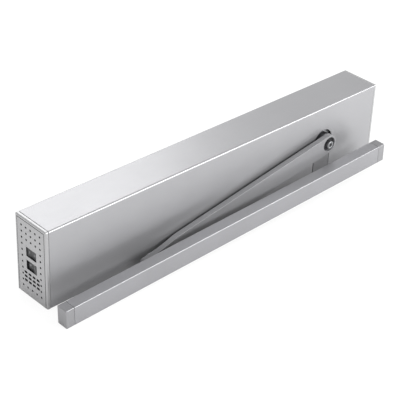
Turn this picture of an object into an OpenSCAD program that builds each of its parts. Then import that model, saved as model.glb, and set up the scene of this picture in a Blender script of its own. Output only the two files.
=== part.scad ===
// Automatic swing door operator with a lever and a slide channel, lying on its wall side.
// X runs along the lintel, Y across the operator's height, Z off the wall.
// The origin is the centre of the face that goes against the wall.

/* [Housing] */
// Length along the lintel
body_l = 685; // [675:1:760]
// Height of the operator
body_h = 70; // [68:1:80]
// Depth off the wall
body_d = 130; // [127:1:145]
// Wall of the extruded cover
cover_wall = 2.2; // [1.8:0.1:2.8]
// Radius along the cover's two long front edges
cover_edge_r = 3.2; // [2.4:0.2:4]
// Radius of its inner edges
cover_inner_r = 1.6; // [0.8:0.2:2.4]
// Length of an end cap's visible rim
end_rim_l = 5.5; // [5:0.5:8]
// Outer radius of the end caps' edges
end_edge_r = 2.6; // [1:0.2:3.4]
// Reach of an end cap's tongue into the cover
tongue_l = 8; // [5:1:12]
// Thickness of an end cap's tongue
tongue_t = 1.5; // [1:0.1:1.8]
// Gap between the cover's long edges and the wall
cover_lift = 0.5; // [0.3:0.1:1]

/* [Perforated end plate] */
// Thickness of the plate
plate_t = 2; // [1.5:0.1:2.5]
// Width of the rim that frames the plate
plate_rim = 3.7; // [3:0.1:5]
// Dark gap between plate and rim
plate_gap = 0.5; // [0.3:0.1:0.8]
// How far the plate lies behind the rim's face
plate_sink = 0.3; // [0.1:0.1:0.8]
// Width of the ledge behind the plate
ledge_w = 2; // [1.5:0.1:3]
// Diameter of the small holes
hole_d = 3.4; // [2:0.1:4]
// Hole pitch across the plate
hole_pitch_y = 10.5; // [9:0.1:11]
// Hole pitch along the plate
hole_pitch_z = 10.25; // [9:0.05:10.6]
// Height of the lowest row of holes
hole_z0 = 13.5; // [12:0.5:16]
// Columns of small holes
hole_cols = 5; // [5:2:5]
// Rows of small holes
hole_rows = 11; // [11:1:11]
// Full rows at the front end of the plate
full_rows = 3; // [2:1:3]
// Length of a lattice slot
slot_l = 7; // [5:0.5:7.5]
// Height of a lattice slot
slot_h = 3.8; // [2.5:0.1:4.5]
// Thickness of the dark mat behind the perforations
mat_t = 1; // [0.5:0.1:2]
// Slot pitch across the plate
slot_pitch_y = 9.4; // [8.5:0.1:9.6]
// Slot pitch along the plate
slot_pitch_z = 7; // [6:0.1:7.4]
// Height of the middle row of slots
slot_z = 32; // [31:0.5:33]

/* [Rocker switches] */
// Width of a switch window across the plate
window_w = 23; // [22:0.5:26]
// Height of a switch window along the plate
window_h = 15.5; // [13:0.5:16]
// Height of the power switch off the wall
power_z = 54; // [53:0.5:56]
// Height of the programme switch off the wall
program_z = 76; // [75:0.5:78]
// Tilt of a rocker to either side
rocker_tilt = 8; // [4:1:9]
// How far a level rocker's ends lie behind the plate's face
rocker_sink = 1.3; // [1:0.1:2]
// Depth of the valley in a rocker's face
rocker_valley = 1.2; // [0.6:0.1:1.8]
// Depth of a rocker's pivot behind its ends
rocker_pivot_depth = 3.2; // [2.6:0.1:4]
// Radius of a rocker's pivot pins
rocker_pin_r = 1.2; // [0.8:0.1:1.5]
// Thickness of a rocker's edge
rocker_edge_t = 3.7; // [3:0.1:5]
// How far a rocker narrows over its edge
rocker_taper = 0.4; // [0.2:0.1:0.8]
// How far a rocker reaches behind its pivot
rocker_back_l = 3; // [2:0.5:4]
// Width of a rocker's back
rocker_back_w = 5; // [4:0.5:8]
// Depth of a switch behind its pivot
switch_hollow = 6; // [5:0.5:8]
// Depth of a switch body behind the plate
switch_depth = 20; // [16:1:24]
// Wall of a switch body
switch_wall = 1.2; // [0.8:0.1:1.8]

/* [Base plate] */
// Thickness of the base plate
base_t = 3; // [2:0.5:4]
// Distance of the base plate's ends from the body's ends
base_inset = 6; // [6:0.5:9]
// How much narrower the base plate is than the space for it
base_play = 0.2; // [0.1:0.1:0.6]
// Diameter of the wall fixing holes
wall_hole_d = 6.5; // [5:0.5:7.5]
// Distance of the wall fixing holes from the operator's long edges
wall_hole_inset = 10; // [9:0.5:11]
// Distance of the first pair of wall holes from the left-hand end
wall_hole_from_end = 20.5; // [18:0.5:24]
// Distance between the two pairs of wall holes
wall_hole_dx = 330; // [322:1:336]
// Length of the cable entry
cable_l = 40; // [25:1:46]
// Width of the cable entry
cable_w = 20; // [12:1:26]
// Corner radius of the base plate
base_corner_r = 4; // [2:0.5:6]
// Corner radius of the cable entry
cable_r = 3; // [1:0.5:5]
// Distance of the cable entry's middle from the left-hand end
cable_from_end = 302.5; // [296:0.5:308]

/* [Spindle] */
// Distance of the spindle axis from the right-hand end
spindle_from_end = 124; // [123.5:0.5:126]
// Distance of the spindle axis from the front
spindle_from_front = 62.5; // [61:0.5:64]
// Width of the opening in each side of the cover
opening_w = 38; // [34:0.5:40]
// Radius of the opening's round end
opening_r = 20.5; // [20:0.5:22]
// Gap at each side of the piece that closes the opening below the spindle
opening_seam = 1.2; // [0.1:0.1:1.4]
// Reach of an opening's closing piece behind the cover
clip_w = 2.6; // [2:0.1:3]
// Thickness of that part behind the cover
clip_t = 1.2; // [0.8:0.1:1.6]
// Radius of the spindle in its bearings
journal_r = 10; // [9:0.5:11]
// Radius of the spindle between its bearings
spindle_r = 12; // [11.5:0.5:13]
// Width across the flats of the spindle's square ends
square_w = 14; // [11:0.5:14]
// Length of a square end
square_l = 6; // [4:0.5:7]
// Outer radius of a spindle bearing
bearing_r = 16; // [14:0.5:17]
// Width of a spindle bearing
bearing_w = 7; // [5:0.5:8]
// Thickness of a bearing's races
race_t = 1.6; // [1.2:0.1:2]
// How far a bearing's shields lie behind its races
shield_sink = 0.6; // [0.3:0.1:1]
// Depth of the tapped holes in the spindle's ends
tapped_depth = 20; // [14:1:22]
// Radius of the spindle extension
extension_r = 15.5; // [14:0.5:16]

/* [Lever] */
// Lever length from the spindle to the slide pin
lever_l = 385; // [370:1:390]
// Lever thickness
lever_t = 9; // [8:0.5:10]
// Radius of the lever's head
lever_head_r = 16; // [15.5:0.5:18]
// Radius of the lever's tip
lever_tip_r = 7.5; // [7.5:0.5:10]
// Distance from the spindle over which the lever keeps its full width
lever_even_l = 200; // [150:5:250]
// Gap between the body and the lever
lever_gap = 5.5; // [4:0.5:7]
// Radius of the recess in the lever's head
recess_r = 12.6; // [12:0.1:13.5]
// Depth of that recess
recess_depth = 5; // [4:0.5:6]
// Length of the level pad at the lever's tip
lever_pad_l = 8.5; // [8:0.5:12]
// How far the lever's tip runs on past the pin
lever_tip_l = 12.5; // [0:0.5:16]
// Length of the slope between bar and pad
lever_slope_l = 56; // [30:1:60]
// How far the pad is cranked towards the channel
lever_crank = 5; // [3:0.5:7]
// Radius of the lever's bolt
bolt_r = 4; // [3:0.5:4]
// Radius of the bolt's head
bolt_head_r = 6.5; // [5.5:0.1:7]
// Height of the bolt's head
bolt_head_h = 6.5; // [6:0.5:8]
// Length of the bolt's shank
bolt_shank_l = 26; // [20:1:30]
// Width across the flats of the bolt's socket
socket_w = 6; // [4:0.5:7]
// Depth of the bolt's socket
socket_depth = 4; // [3:0.5:4.5]
// Radius of the washer under the bolt
washer_r = 11.4; // [10.5:0.1:11.6]
// Thickness of that washer
washer_t = 1.5; // [1:0.1:2]

/* [Slide channel] */
// Overall length with its end caps
channel_l = 666; // [650:1:690]
// How far the channel's left-hand end stands out beyond the operator's
channel_overhang = 7; // [4:0.5:10]
// Angle of the channel to the operator, as on a door a little off its closed place
channel_tilt = 1.6; // [0:0.1:1.6]
// Width of the channel, along the operator's height
channel_w = 20; // [18:0.5:24]
// Depth of the channel off the door
channel_d = 31; // [28:0.5:36]
// Gap between the operator and the channel
channel_gap = 32; // [30:0.5:36]
// Wall of the channel
channel_wall = 2; // [1.5:0.1:2.5]
// Radius of the channel's long outer edges
channel_edge_r = 1.5; // [1:0.1:2]
// Seam between the channel and each end cap
cap_seam = 0.4; // [0.1:0.1:0.6]
// Distance of the channel's screw holes from its ends
channel_hole_inset = 7; // [6.5:0.5:8.5]
// How far a bracket's plug laps its foot
bracket_lap = 2; // [1:0.5:4]
// Height of the slide pin's centre off the door
pin_h = 9.5; // [9.5:0.1:10.5]
// Width of the slot for the slide pin
slot_w = 9.5; // [9:0.5:11]
// Height of the chamber for the slide block
chamber_h = 14; // [13:0.5:14.5]
// Length of a channel end cap
channel_cap_l = 15; // [13:0.5:18]
// Length of a bracket's plug in the channel
plug_l = 14; // [10:1:20]
// Thickness of a bracket's foot
foot_t = 3; // [2:0.5:4]
// Diameter of a bracket's fixing hole
channel_hole_d = 5.5; // [4:0.5:6]
// Thickness of the buffers in the channel
buffer_t = 4; // [2:0.5:6]
// Length of the slide block
slide_block_l = 40; // [30:1:50]
// Corner radius of the slide block
slide_block_r = 3; // [1:0.5:5]
// Radius of the slide pin
pin_r = 4; // [3:0.5:4.5]
// Radius of the slide pin's collar
pin_collar_r = 6.5; // [5.5:0.5:7]
// Thickness of the slide pin's collar and of its head
pin_collar_t = 2; // [1:0.5:3]

/* [Drive] */
// Gap between the drive housing and the cover
drive_gap = 3.8; // [3.4:0.1:4.5]
// Wall of the cast drive housing
drive_wall = 5; // [4:0.5:6]
// Distance of the housing's left side from the spindle
drive_left = 70; // [68:1:74]
// Gap between the motor and the housing's right side
motor_side_gap = 4.5; // [4:0.5:5]
// Gap between the output gear's teeth and the housing's floor
drive_floor_gap = 2.7; // [2:0.1:3.5]
// Gap between the housing's top and the cover
drive_top_gap = 6.8; // [6:0.2:8]
// Gap between the motor and the housing's top
motor_top_gap = 2.5; // [2.5:0.1:4]
// Radius of the housing's corners
drive_corner_r = 10; // [8:0.5:12]
// Radius of the screw bosses in the housing
boss_r = 5; // [4.5:0.1:5.4]
// Wall of the housing's boss round each bearing
bearing_boss_t = 4; // [3:0.5:5]
// Wall of its boss round the idler's pin
idler_boss_t = 3; // [2:0.5:4]
// Radius of the housing screws
housing_screw_r = 2.5; // [2:0.1:3]
// Radius of a screw head, as a multiple of the screw's radius
screw_head_ratio = 1.8; // [1.7:0.05:1.9]
// Radius of the hole for the spring piston
piston_port_r = 15; // [14:0.5:17]
// Width and depth of the housing's feet
foot_w = 14; // [12:0.5:16]
// Radius of the screws in the feet
foot_screw_r = 2.5; // [2:0.1:3]

/* [Gear train] */
// Module of the output gear
output_m = 1.75; // [1.7:0.01:1.8]
// Module of the motor stage
motor_m = 1.25; // [1.2:0.01:1.28]
// Teeth on both large wheels
wheel_teeth = 45; // [45:1:45]
// Teeth on both pinions
pinion_teeth = 15; // [15:1:15]
// Thinning of each tooth at the pitch circle
tooth_slack = 0.12; // [0.1:0.01:0.2]
// Gap between the large wheels and the spindle bearings
wheel_gap = 1.5; // [1.5:0.5:3]
// Radius of the idler pin
idler_pin_r = 5; // [4:0.5:6]
// Radius of the idler between its wheels
idler_hub_r = 8; // [7:0.5:9]
// Radius of the output gear's disc behind the teeth
output_disc_r = 28; // [22:1:32]
// Height of a tooth above the pitch circle, in modules
tooth_top = 0.8; // [0.7:0.05:0.9]
// Depth of a tooth below the pitch circle, in modules
tooth_root = 1.15; // [1.1:0.05:1.25]
// Pressure angle
pressure_angle = 20; // [20:0.5:22]

/* [Motor] */
// Outer radius of the motor
motor_r = 20; // [17:0.5:21]
// Length of the motor
motor_l = 30; // [24:1:31]
// Thickness of the motor's ends
motor_end_t = 4; // [3:0.5:5]
// Wall of the motor can
motor_wall = 3.5; // [2:0.5:5]
// Number of winding slots
motor_slots = 9; // [6:1:12]
// Depth of a winding slot
motor_slot_depth = 4.5; // [3:0.5:6]
// Width of a winding slot
motor_slot_w = 1.6; // [1:0.2:2]
// Gap between the rotor and the motor's walls
rotor_gap = 0.5; // [0.4:0.1:0.8]
// How far the motor's shaft ends before the motor does
motor_shaft_gap = 1.3; // [1.2:0.1:2]
// Radius of the motor shaft
shaft_r = 3; // [2.5:0.1:4]

/* [Cam and closing spring] */
// Distance of the roller from the spindle at rest
roller_reach = 25; // [25:0.5:26]
// Radius of the cam roller
roller_r = 9; // [8:0.5:9]
// Radius of the roller's pin
roller_pin_r = 3; // [2.5:0.1:3.5]
// Lift of the cam over the lever's whole swing
cam_lift = 20; // [16:0.5:20]
// Swing of the lever in degrees
swing = 110; // [100:1:110]
// Thickness of the cam
cam_t = 12; // [10:0.5:12]
// Thickness of a fork arm
fork_t = 3; // [2:0.5:3]
// Length of the fork behind the roller
fork_l = 27; // [26:0.5:30]
// Thickness of the fork's root
fork_root_t = 10; // [6:0.5:10]
// Half height of the fork
fork_h = 8; // [6:0.5:9]
// Length of the spring tube
tube_l = 118; // [112:1:126]
// Inner radius of the spring tube
tube_r = 19.5; // [17:0.5:21]
// Wall of the spring tube
tube_wall = 2.5; // [2:0.1:3]
// Distance of the piston's head from the housing at rest
piston_inset = 8; // [5:0.5:9]
// Thickness of the piston's head
piston_t = 12; // [8:1:14]
// Radius of the piston's neck and of its guide rod
rod_r = 8; // [6:0.5:9]
// Length of the guide rod in the spring
guide_l = 40; // [30:1:45]
// Inner radius of the closing spring
spring_inner_r = 12; // [10:0.5:13]
// Thickness of the spring adjuster
adjuster_t = 12; // [8:1:16]
// Length of the saddle under the spring tube
saddle_l = 24; // [16:1:30]
// How far the saddle is narrower than the tube's bore, on each side
saddle_inset = 2; // [1:0.5:4]
// Wall round the hollow in the saddle
saddle_wall = 5; // [4:0.5:7]
// How far the saddle's top stays under the tube's axis
saddle_drop = 8; // [6:0.5:10]
// Width across the corners of the adjuster's socket
adjuster_socket_w = 12; // [8:0.5:14]
// Depth of the adjuster's socket
adjuster_socket_depth = 6; // [4:0.5:8]
// Depth of the hole in the adjuster for the guide rod's end
adjuster_hole_depth = 3; // [2:0.5:5]
// Wall of the fork past the roller's pin
fork_end_t = 3.5; // [3:0.5:5]
// Gap between the closing spring and its tube
spring_play = 0.9; // [0.6:0.1:1.4]

/* [Electronics] */
// Length of the control board
board_l = 90; // [70:1:96]
// Distance of the control board from the left-hand end
board_from_end = 38.5; // [35:0.5:42]
// Height of the control board off the wall
board_z = 20; // [16:1:26]
// Thickness of the control board
board_t = 1.6; // [1:0.2:2.4]
// Width of the control board
board_w = 54; // [46:1:58]
// Distance of the board's posts from its edges
post_inset = 5; // [4.5:0.5:7]
// Radius of a post under the board
post_r = 3.5; // [2.5:0.1:3.9]
// Radius of the screw hole in a post
post_hole_r = 1.6; // [1:0.1:1.8]
// Margin of the carrier's tray round the board
tray_margin = 2; // [1.8:0.1:2.5]
// Wall of the carrier's tray
tray_wall = 1.5; // [1:0.1:1.7]
// Height of the carrier's tray
tray_h = 8; // [5:0.5:12]
// Radius of the tray's corners
tray_r = 3; // [2:0.5:4]
// Length of the power supply
supply_l = 110; // [90:1:116]
// Distance of the power supply from the left-hand end
supply_from_end = 144.5; // [142:0.5:148]
// Height of the power supply
supply_h = 58; // [40:1:80]
// Radius of the power supply's edges
supply_edge_r = 2; // [1:0.5:2.5]
// Cooling ribs on the power supply
supply_ribs = 9; // [5:1:11]
// Height of those ribs
supply_rib_h = 10; // [6:0.5:14]
// Width of the power supply
supply_w = 54; // [40:1:58]
// Terminals in the strip
terminals = 8; // [4:1:8]
// Pitch of the terminals
terminal_pitch = 5; // [4:0.1:5.5]
// Length of the strip's blocks
terminal_l = 9; // [7:0.5:10]
// Height of the strip
terminal_h = 12; // [9:0.5:16]
// Radius of a terminal's wire hole
terminal_r = 1.5; // [1:0.1:1.9]
// Distance of the strip from the board's edge
terminal_inset = 1; // [0.5:0.1:1.5]
// Relays on the board
relays = 3; // [1:1:3]
// Distance of the relays from the board's left edge
relay_inset = 14; // [12:0.5:16]
// Pitch of the relays
relay_pitch = 16; // [14:0.5:16]
// Length of a relay
relay_l = 12; // [9:0.5:13]
// Width of a relay
relay_w = 18; // [12:0.5:18]
// Height of a relay
relay_h = 15; // [8:0.5:20]
// Gap between the relays and the capacitors
relay_gap = 4; // [2:0.5:6]
// Capacitors on the board
capacitors = 4; // [1:1:4]
// Radius of a capacitor
capacitor_r = 5; // [3:0.1:5]
// Height of a capacitor
capacitor_h = 18; // [10:0.5:24]
// Pitch of the capacitors
capacitor_pitch = 12; // [11:0.5:12]
// Width of the processor
chip_w = 10; // [6:0.5:10]
// Height of the processor
chip_h = 2; // [1:0.2:3]
// Distance of the processor from the board's right edge
chip_inset = 14; // [13:0.5:16]

/* [Clearances] */
// Between pieces that are fixed together but not pressed
seat_gap = 0.1; // [0.05:0.01:0.2]
// Between pieces that move past each other
free_gap = 0.3; // [0.2:0.05:0.4]
// Around a turning shaft
run_gap = 0.04; // [0.02:0.01:0.06]

/* [Hidden] */
$fn = 64;
eps = 1;
// Small differences of length along an axis, sunk screw heads and overlaps of joined forms
gear_inset = 0.5;
foot_screw_sink = 0.2;
foot_lap = 2;
tongue_inner_r = 1;
// A tooth is a little wider at its root than where the involute begins
root_spread = 1.02;

x_left = -body_l / 2;
x_right = body_l / 2;
y_front = -body_h / 2;
cover_x0 = x_left + end_rim_l;
cover_x1 = x_right - end_rim_l;
inner_w = body_h - 2 * cover_wall;
inner_z = body_d - cover_wall;

plate_w = body_h - 2 * plate_rim - 2 * plate_gap;
plate_h = body_d - plate_rim - plate_gap;
plate_x0 = x_left + plate_sink;
plate_x1 = plate_x0 + plate_t;

rocker_x = plate_x0 + rocker_sink + rocker_pivot_depth;
rocker_w = window_w - 2 * free_gap - 1;
rocker_h = window_h - 2 * free_gap;
switch_x1 = plate_x1 + switch_depth;

base_w = inner_w - 2 * tongue_t - 4 * seat_gap - base_play;
base_x0 = x_left + base_inset;
base_x1 = x_right - base_inset;
wall_hole_x0 = x_left + wall_hole_from_end;
wall_hole_x1 = wall_hole_x0 + wall_hole_dx;
cable_x = x_left + cable_from_end;
board_x0 = x_left + board_from_end;
supply_x0 = x_left + supply_from_end;

spindle_x = x_right - spindle_from_end;
spindle_z = body_d - spindle_from_front;
lever_y1 = y_front - lever_gap;
lever_y0 = lever_y1 - lever_t;
washer_y1 = lever_y0 + recess_depth;
bolt_y1 = washer_y1 - washer_t;

pad_y1 = lever_y1 - lever_crank;
pad_y0 = lever_y0 - lever_crank;

channel_y1 = y_front - channel_gap;
channel_y0 = channel_y1 - channel_w;
channel_ym = (channel_y0 + channel_y1) / 2;
// The channel's pieces are drawn level, and then turned about the lower edge of its left-hand end
channel_x0 = x_left - channel_overhang;
channel_x1 = channel_x0 + channel_l;
rail_x0 = channel_x0 + channel_cap_l;
rail_x1 = channel_x1 - channel_cap_l;
chamber_w = channel_w - 2 * channel_wall;
chamber_z0 = pin_h - chamber_h / 2;
chamber_z1 = pin_h + chamber_h / 2;

// The slide pin is where the lever's length meets the middle of the chamber
spindle_u = (spindle_x - channel_x0) * cos(channel_tilt) + spindle_z * sin(channel_tilt);
spindle_v = spindle_z * cos(channel_tilt) - (spindle_x - channel_x0) * sin(channel_tilt);
pin_u = spindle_u - sqrt(pow(lever_l, 2) - pow(spindle_v - pin_h, 2));
pin_x = channel_x0 + pin_u * cos(channel_tilt) - pin_h * sin(channel_tilt);
pin_z = pin_u * sin(channel_tilt) + pin_h * cos(channel_tilt);
lever_drop = asin((spindle_z - pin_z) / lever_l);

drive_y = body_h / 2 - cover_wall - drive_gap;
drive_in_y = drive_y - drive_wall;
drive_x0 = spindle_x - drive_left;
drive_z0 = spindle_z - output_m * (wheel_teeth / 2 + tooth_top) - drive_floor_gap - drive_wall;
drive_z1 = inner_z - drive_top_gap;
bearing_y = drive_y - bearing_w;

cam_y = cam_t / 2;
fork_y0 = cam_y + gear_inset;
fork_y1 = fork_y0 + fork_t;
wheel_y0 = fork_y1 + 1;
wheel_y1 = bearing_y - wheel_gap;
idler_y = wheel_y1 + gear_inset;

idler_x = spindle_x + output_m * (wheel_teeth + pinion_teeth) / 2;
motor_reach = motor_m * (wheel_teeth + pinion_teeth) / 2;
motor_z = drive_z1 - drive_wall - motor_top_gap - motor_r;
motor_angle = asin((motor_z - spindle_z) / motor_reach);
motor_x = idler_x + motor_reach * cos(motor_angle);
drive_x1 = motor_x + motor_r + motor_side_gap + drive_wall;
motor_y1 = drive_in_y;
motor_y0 = motor_y1 - motor_l;

tube_x1 = drive_x0;
tube_x0 = tube_x1 - tube_l;
piston_x1 = tube_x1 - piston_inset;
piston_x0 = piston_x1 - piston_t;
adjuster_x1 = tube_x0 + adjuster_t;
roller_x = spindle_x - roller_reach;
fork_x0 = roller_x - fork_l;
spring_r = tube_r - spring_play;
cam_rate = cam_lift / swing;

// A profile drawn as (y, z), extruded along X
module along_x(x0, x1) translate([x0, 0, 0]) rotate([90, 0, 90]) linear_extrude(x1 - x0) children();
// A profile drawn as (x, z), extruded along Y
module along_y(y0, y1) translate([0, y1, 0]) rotate([90, 0, 0]) linear_extrude(y1 - y0) children();
// A profile drawn as (x, y), extruded along Z
module along_z(z0, z1) translate([0, 0, z0]) linear_extrude(z1 - z0) children();

module rod_x(x0, x1, y, z, r) translate([x0, y, z]) rotate([0, 90, 0]) cylinder(r = r, h = x1 - x0);
module rod_y(y0, y1, x, z, r) translate([x, y1, z]) rotate([90, 0, 0]) cylinder(r = r, h = y1 - y0);
module rod_z(z0, z1, x, y, r) translate([x, y, z0]) cylinder(r = r, h = z1 - z0);
module box(x0, x1, y0, y1, z0, z1) translate([x0, y0, z0]) cube([x1 - x0, y1 - y0, z1 - z0]);

// A rectangle from corner to corner with round corners
module round_rect(x0, x1, y0, y1, r) {
    translate([x0 + r, y0]) square([x1 - x0 - 2 * r, y1 - y0]);
    translate([x0, y0 + r]) square([x1 - x0, y1 - y0 - 2 * r]);
    for (x = [x0 + r, x1 - r], y = [y0 + r, y1 - r]) translate([x, y]) circle(r);
}

// The operator's cross-section: open towards the wall, front edges round
module arch(w, z0, z1, r) {
    translate([-w / 2, z0]) square([w, z1 - r - z0]);
    translate([-w / 2 + r, z0]) square([w - 2 * r, z1 - z0]);
    for (side = [-1, 1]) translate([side * (w / 2 - r), z1 - r]) circle(r);
}

// The keyhole opening for the spindle, down to the wall
module keyhole(z0, grow) {
    translate([spindle_x, spindle_z]) circle(opening_r + grow);
    translate([spindle_x - opening_w / 2 - grow, z0]) square([opening_w + 2 * grow, spindle_z - z0]);
}

module cover() color("gainsboro") difference() {
    along_x(cover_x0, cover_x1) difference() {
        arch(body_h, cover_lift, body_d, cover_edge_r);
        arch(inner_w, -eps, inner_z, cover_inner_r);
    }
    along_y(y_front - eps, -y_front + eps) keyhole(-eps, 0);
}

// The outside of an end cap, its far edges rounded; drawn for the left-hand end
module end_block() intersection() {
    along_x(x_left, cover_x0) arch(body_h, 0, body_d, cover_edge_r);
    along_y(y_front, -y_front) {
        translate([x_left + end_edge_r, 0]) square([end_rim_l - end_edge_r, body_d]);
        translate([x_left, 0]) square([end_rim_l, body_d - end_edge_r]);
        translate([x_left + end_edge_r, body_d - end_edge_r]) circle(end_edge_r);
    }
    along_z(0, body_d) {
        translate([x_left + end_edge_r, y_front]) square([end_rim_l - end_edge_r, body_h]);
        translate([x_left, y_front + end_edge_r]) square([end_rim_l, body_h - 2 * end_edge_r]);
        for (side = [-1, 1])
            translate([x_left + end_edge_r, side * (body_h / 2 - end_edge_r)]) circle(end_edge_r);
    }
}

// The tongue that reaches from an end cap into the cover
module end_tongue() along_x(cover_x0 - 0.5, cover_x0 + tongue_l) difference() {
    arch(inner_w - 2 * seat_gap, 0, inner_z - seat_gap, cover_inner_r);
    arch(inner_w - 2 * seat_gap - 2 * tongue_t, -eps, inner_z - seat_gap - tongue_t, tongue_inner_r);
}

module left_end_frame() color("silver") {
    end_tongue();
    difference() {
        end_block();
        along_x(x_left - eps, plate_x1)
            translate([-body_h / 2 + plate_rim, -eps])
                square([body_h - 2 * plate_rim, body_d - plate_rim + eps]);
        along_x(x_left - eps, cover_x0 + eps)
            translate([-body_h / 2 + plate_rim + ledge_w, -eps])
                square([body_h - 2 * plate_rim - 2 * ledge_w, body_d - plate_rim - ledge_w + eps]);
    }
}

module right_end_cap() color("silver") mirror([1, 0, 0]) {
    end_tongue();
    difference() {
        end_block();
        along_x(x_left + end_rim_l / 2, cover_x0 + eps)
            arch(inner_w - 2 * seat_gap - 2 * tongue_t, -eps, inner_z - seat_gap - tongue_t, tongue_inner_r);
    }
}

// The mat behind the perforated plate keeps dust out; the switches go through it
module vent_mat() color("dimgray") difference() {
    along_x(plate_x1, plate_x1 + mat_t) {
        half = body_h / 2 - plate_rim - ledge_w - free_gap;
        translate([-half, cover_lift])
            square([2 * half, body_d - plate_rim - ledge_w - free_gap - cover_lift]);
    }
    for (z = [power_z, program_z])
        box(plate_x1 - eps, plate_x1 + mat_t + eps,
            -window_w / 2 - switch_wall - free_gap, window_w / 2 + switch_wall + free_gap,
            z - window_h / 2 - switch_wall - free_gap, z + window_h / 2 + switch_wall + free_gap);
}

// The perforations: round holes, the lattice of slots and the two switch windows
module perforations() {
    for (row = [0 : hole_rows - 1], col = [0 : hole_cols - 1])
        if (row == 0 || row >= hole_rows - full_rows || col == 0 || col == hole_cols - 1)
            translate([(col - (hole_cols - 1) / 2) * hole_pitch_y, hole_z0 + row * hole_pitch_z])
                circle(d = hole_d, $fn = 24);
    for (row = [-1 : 1], col = [-1.5 : 1.5])
        translate([col * slot_pitch_y - slot_l / 2, slot_z + row * slot_pitch_z - slot_h / 2])
            square([slot_l, slot_h]);
    for (z = [power_z, program_z])
        translate([-window_w / 2, z - window_h / 2]) square([window_w, window_h]);
}

module perforated_end_plate() color("lightgray") along_x(plate_x0, plate_x1) difference() {
    translate([-plate_w / 2, 0]) square([plate_w, plate_h]);
    perforations();
}

module base_plate() color("darkgray") difference() {
    along_z(0, base_t) difference() {
        round_rect(base_x0, base_x1, -base_w / 2, base_w / 2, base_corner_r);
        for (x = [wall_hole_x0, wall_hole_x1], side = [-1, 1])
            translate([x, side * (body_h / 2 - wall_hole_inset)]) circle(d = wall_hole_d);
        round_rect(cable_x - cable_l / 2, cable_x + cable_l / 2, -cable_w / 2, cable_w / 2, cable_r);
        for (p = foot_places()) translate(p) circle(foot_screw_r + seat_gap);
        for (p = board_posts()) translate(p) circle(post_hole_r);
    }
    for (p = foot_places()) translate([p[0], p[1], -0.01])
        cylinder(r1 = 2 * foot_screw_r + seat_gap, r2 = foot_screw_r + seat_gap, h = foot_screw_r + 0.01);
}

// The insert that closes the lower part of the opening, with its clip behind the cover
module spindle_opening_insert() color("silver") {
    along_y(y_front, y_front + cover_wall) difference() {
        translate([spindle_x - opening_w / 2 + opening_seam, cover_lift])
            square([opening_w - 2 * opening_seam, spindle_z - opening_r / 2 - cover_lift]);
        translate([spindle_x, spindle_z]) circle(opening_r);
    }
    along_y(y_front + cover_wall - 0.01, y_front + cover_wall + clip_t)
        translate([spindle_x - opening_w / 2 - clip_w, cover_lift])
            square([opening_w + 2 * clip_w, spindle_z - opening_r - clip_w - cover_lift]);
}

module spindle_opening_blank() color("silver") mirror([0, 1, 0]) {
    along_y(y_front, y_front + cover_wall) keyhole(cover_lift, -seat_gap);
    along_y(y_front + cover_wall - 0.01, y_front + cover_wall + clip_t) keyhole(cover_lift, clip_w);
}

// Corners of the drive housing that carry its screws
function screw_places() = [for (x = [drive_x0 + drive_corner_r, drive_x1 - drive_corner_r],
    z = [drive_z0 + drive_corner_r, drive_z1 - drive_corner_r]) [x, z]];
// Screw positions in the housing's feet, as x and y
function foot_places() = [for (x = [drive_x0 + drive_corner_r, drive_x1 - drive_corner_r], side = [-1, 1])
    [x, side * (drive_y - foot_w / 2)]];
// Posts under the control board, as x and y
function board_posts() = [for (x = [board_x0 + post_inset, board_x0 + board_l - post_inset], side = [-1, 1])
    [x, side * (board_w / 2 - post_inset)]];

// One half of the cast housing, drawn on the -Y side
module housing_half() difference() {
    union() {
        along_y(-drive_y, 0) difference() {
            round_rect(drive_x0, drive_x1, drive_z0, drive_z1, drive_corner_r);
            round_rect(drive_x0 + drive_wall, drive_x1 - drive_wall,
                drive_z0 + drive_wall, drive_z1 - drive_wall, drive_corner_r - drive_wall);
        }
        along_y(-drive_y, -drive_in_y) round_rect(drive_x0, drive_x1, drive_z0, drive_z1, drive_corner_r);
        rod_y(-drive_y, -bearing_y, spindle_x, spindle_z, bearing_r + bearing_boss_t);
        rod_y(-drive_y, -idler_y - free_gap, idler_x, spindle_z, idler_pin_r + idler_boss_t);
        for (p = screw_places()) rod_y(-drive_y, 0, p[0], p[1], boss_r);
        for (p = foot_places()) if (p[1] < 0)
            box(p[0] - foot_w / 2, p[0] + foot_w / 2, p[1] - foot_w / 2, p[1] + foot_w / 2,
                base_t, drive_z0 + foot_lap);
    }
    rod_y(-drive_y - eps, -bearing_y + eps, spindle_x, spindle_z, bearing_r + run_gap);
    rod_y(-drive_y - eps, 0, idler_x, spindle_z, idler_pin_r + run_gap);
    rod_x(drive_x0 - eps, drive_x0 + drive_wall + eps, 0, spindle_z, piston_port_r);
    for (p = screw_places()) rod_y(-drive_y - eps, eps, p[0], p[1], housing_screw_r + seat_gap);
    for (p = foot_places()) rod_z(base_t - eps, drive_z0, p[0], p[1], foot_screw_r + seat_gap);
}

module drive_housing_front() color("darkgray") difference() {
    housing_half();
    for (p = screw_places())
        rod_y(-drive_y - eps, -drive_y + 2 * housing_screw_r, p[0], p[1],
            screw_head_ratio * housing_screw_r + seat_gap);
}

module drive_housing_back() color("darkgray") mirror([0, 1, 0]) housing_half();

module housing_screws() color("dimgray") for (p = screw_places()) {
    difference() {
        rod_y(-drive_y, -drive_y + 2 * housing_screw_r, p[0], p[1], screw_head_ratio * housing_screw_r);
        translate([p[0], -drive_y + housing_screw_r, p[1]]) rotate([90, 0, 0])
            cylinder(r = housing_screw_r, h = housing_screw_r + eps, $fn = 6);
    }
    rod_y(-drive_y + 2 * housing_screw_r - 0.01, drive_y - drive_wall / 2, p[0], p[1], housing_screw_r);
}

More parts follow.
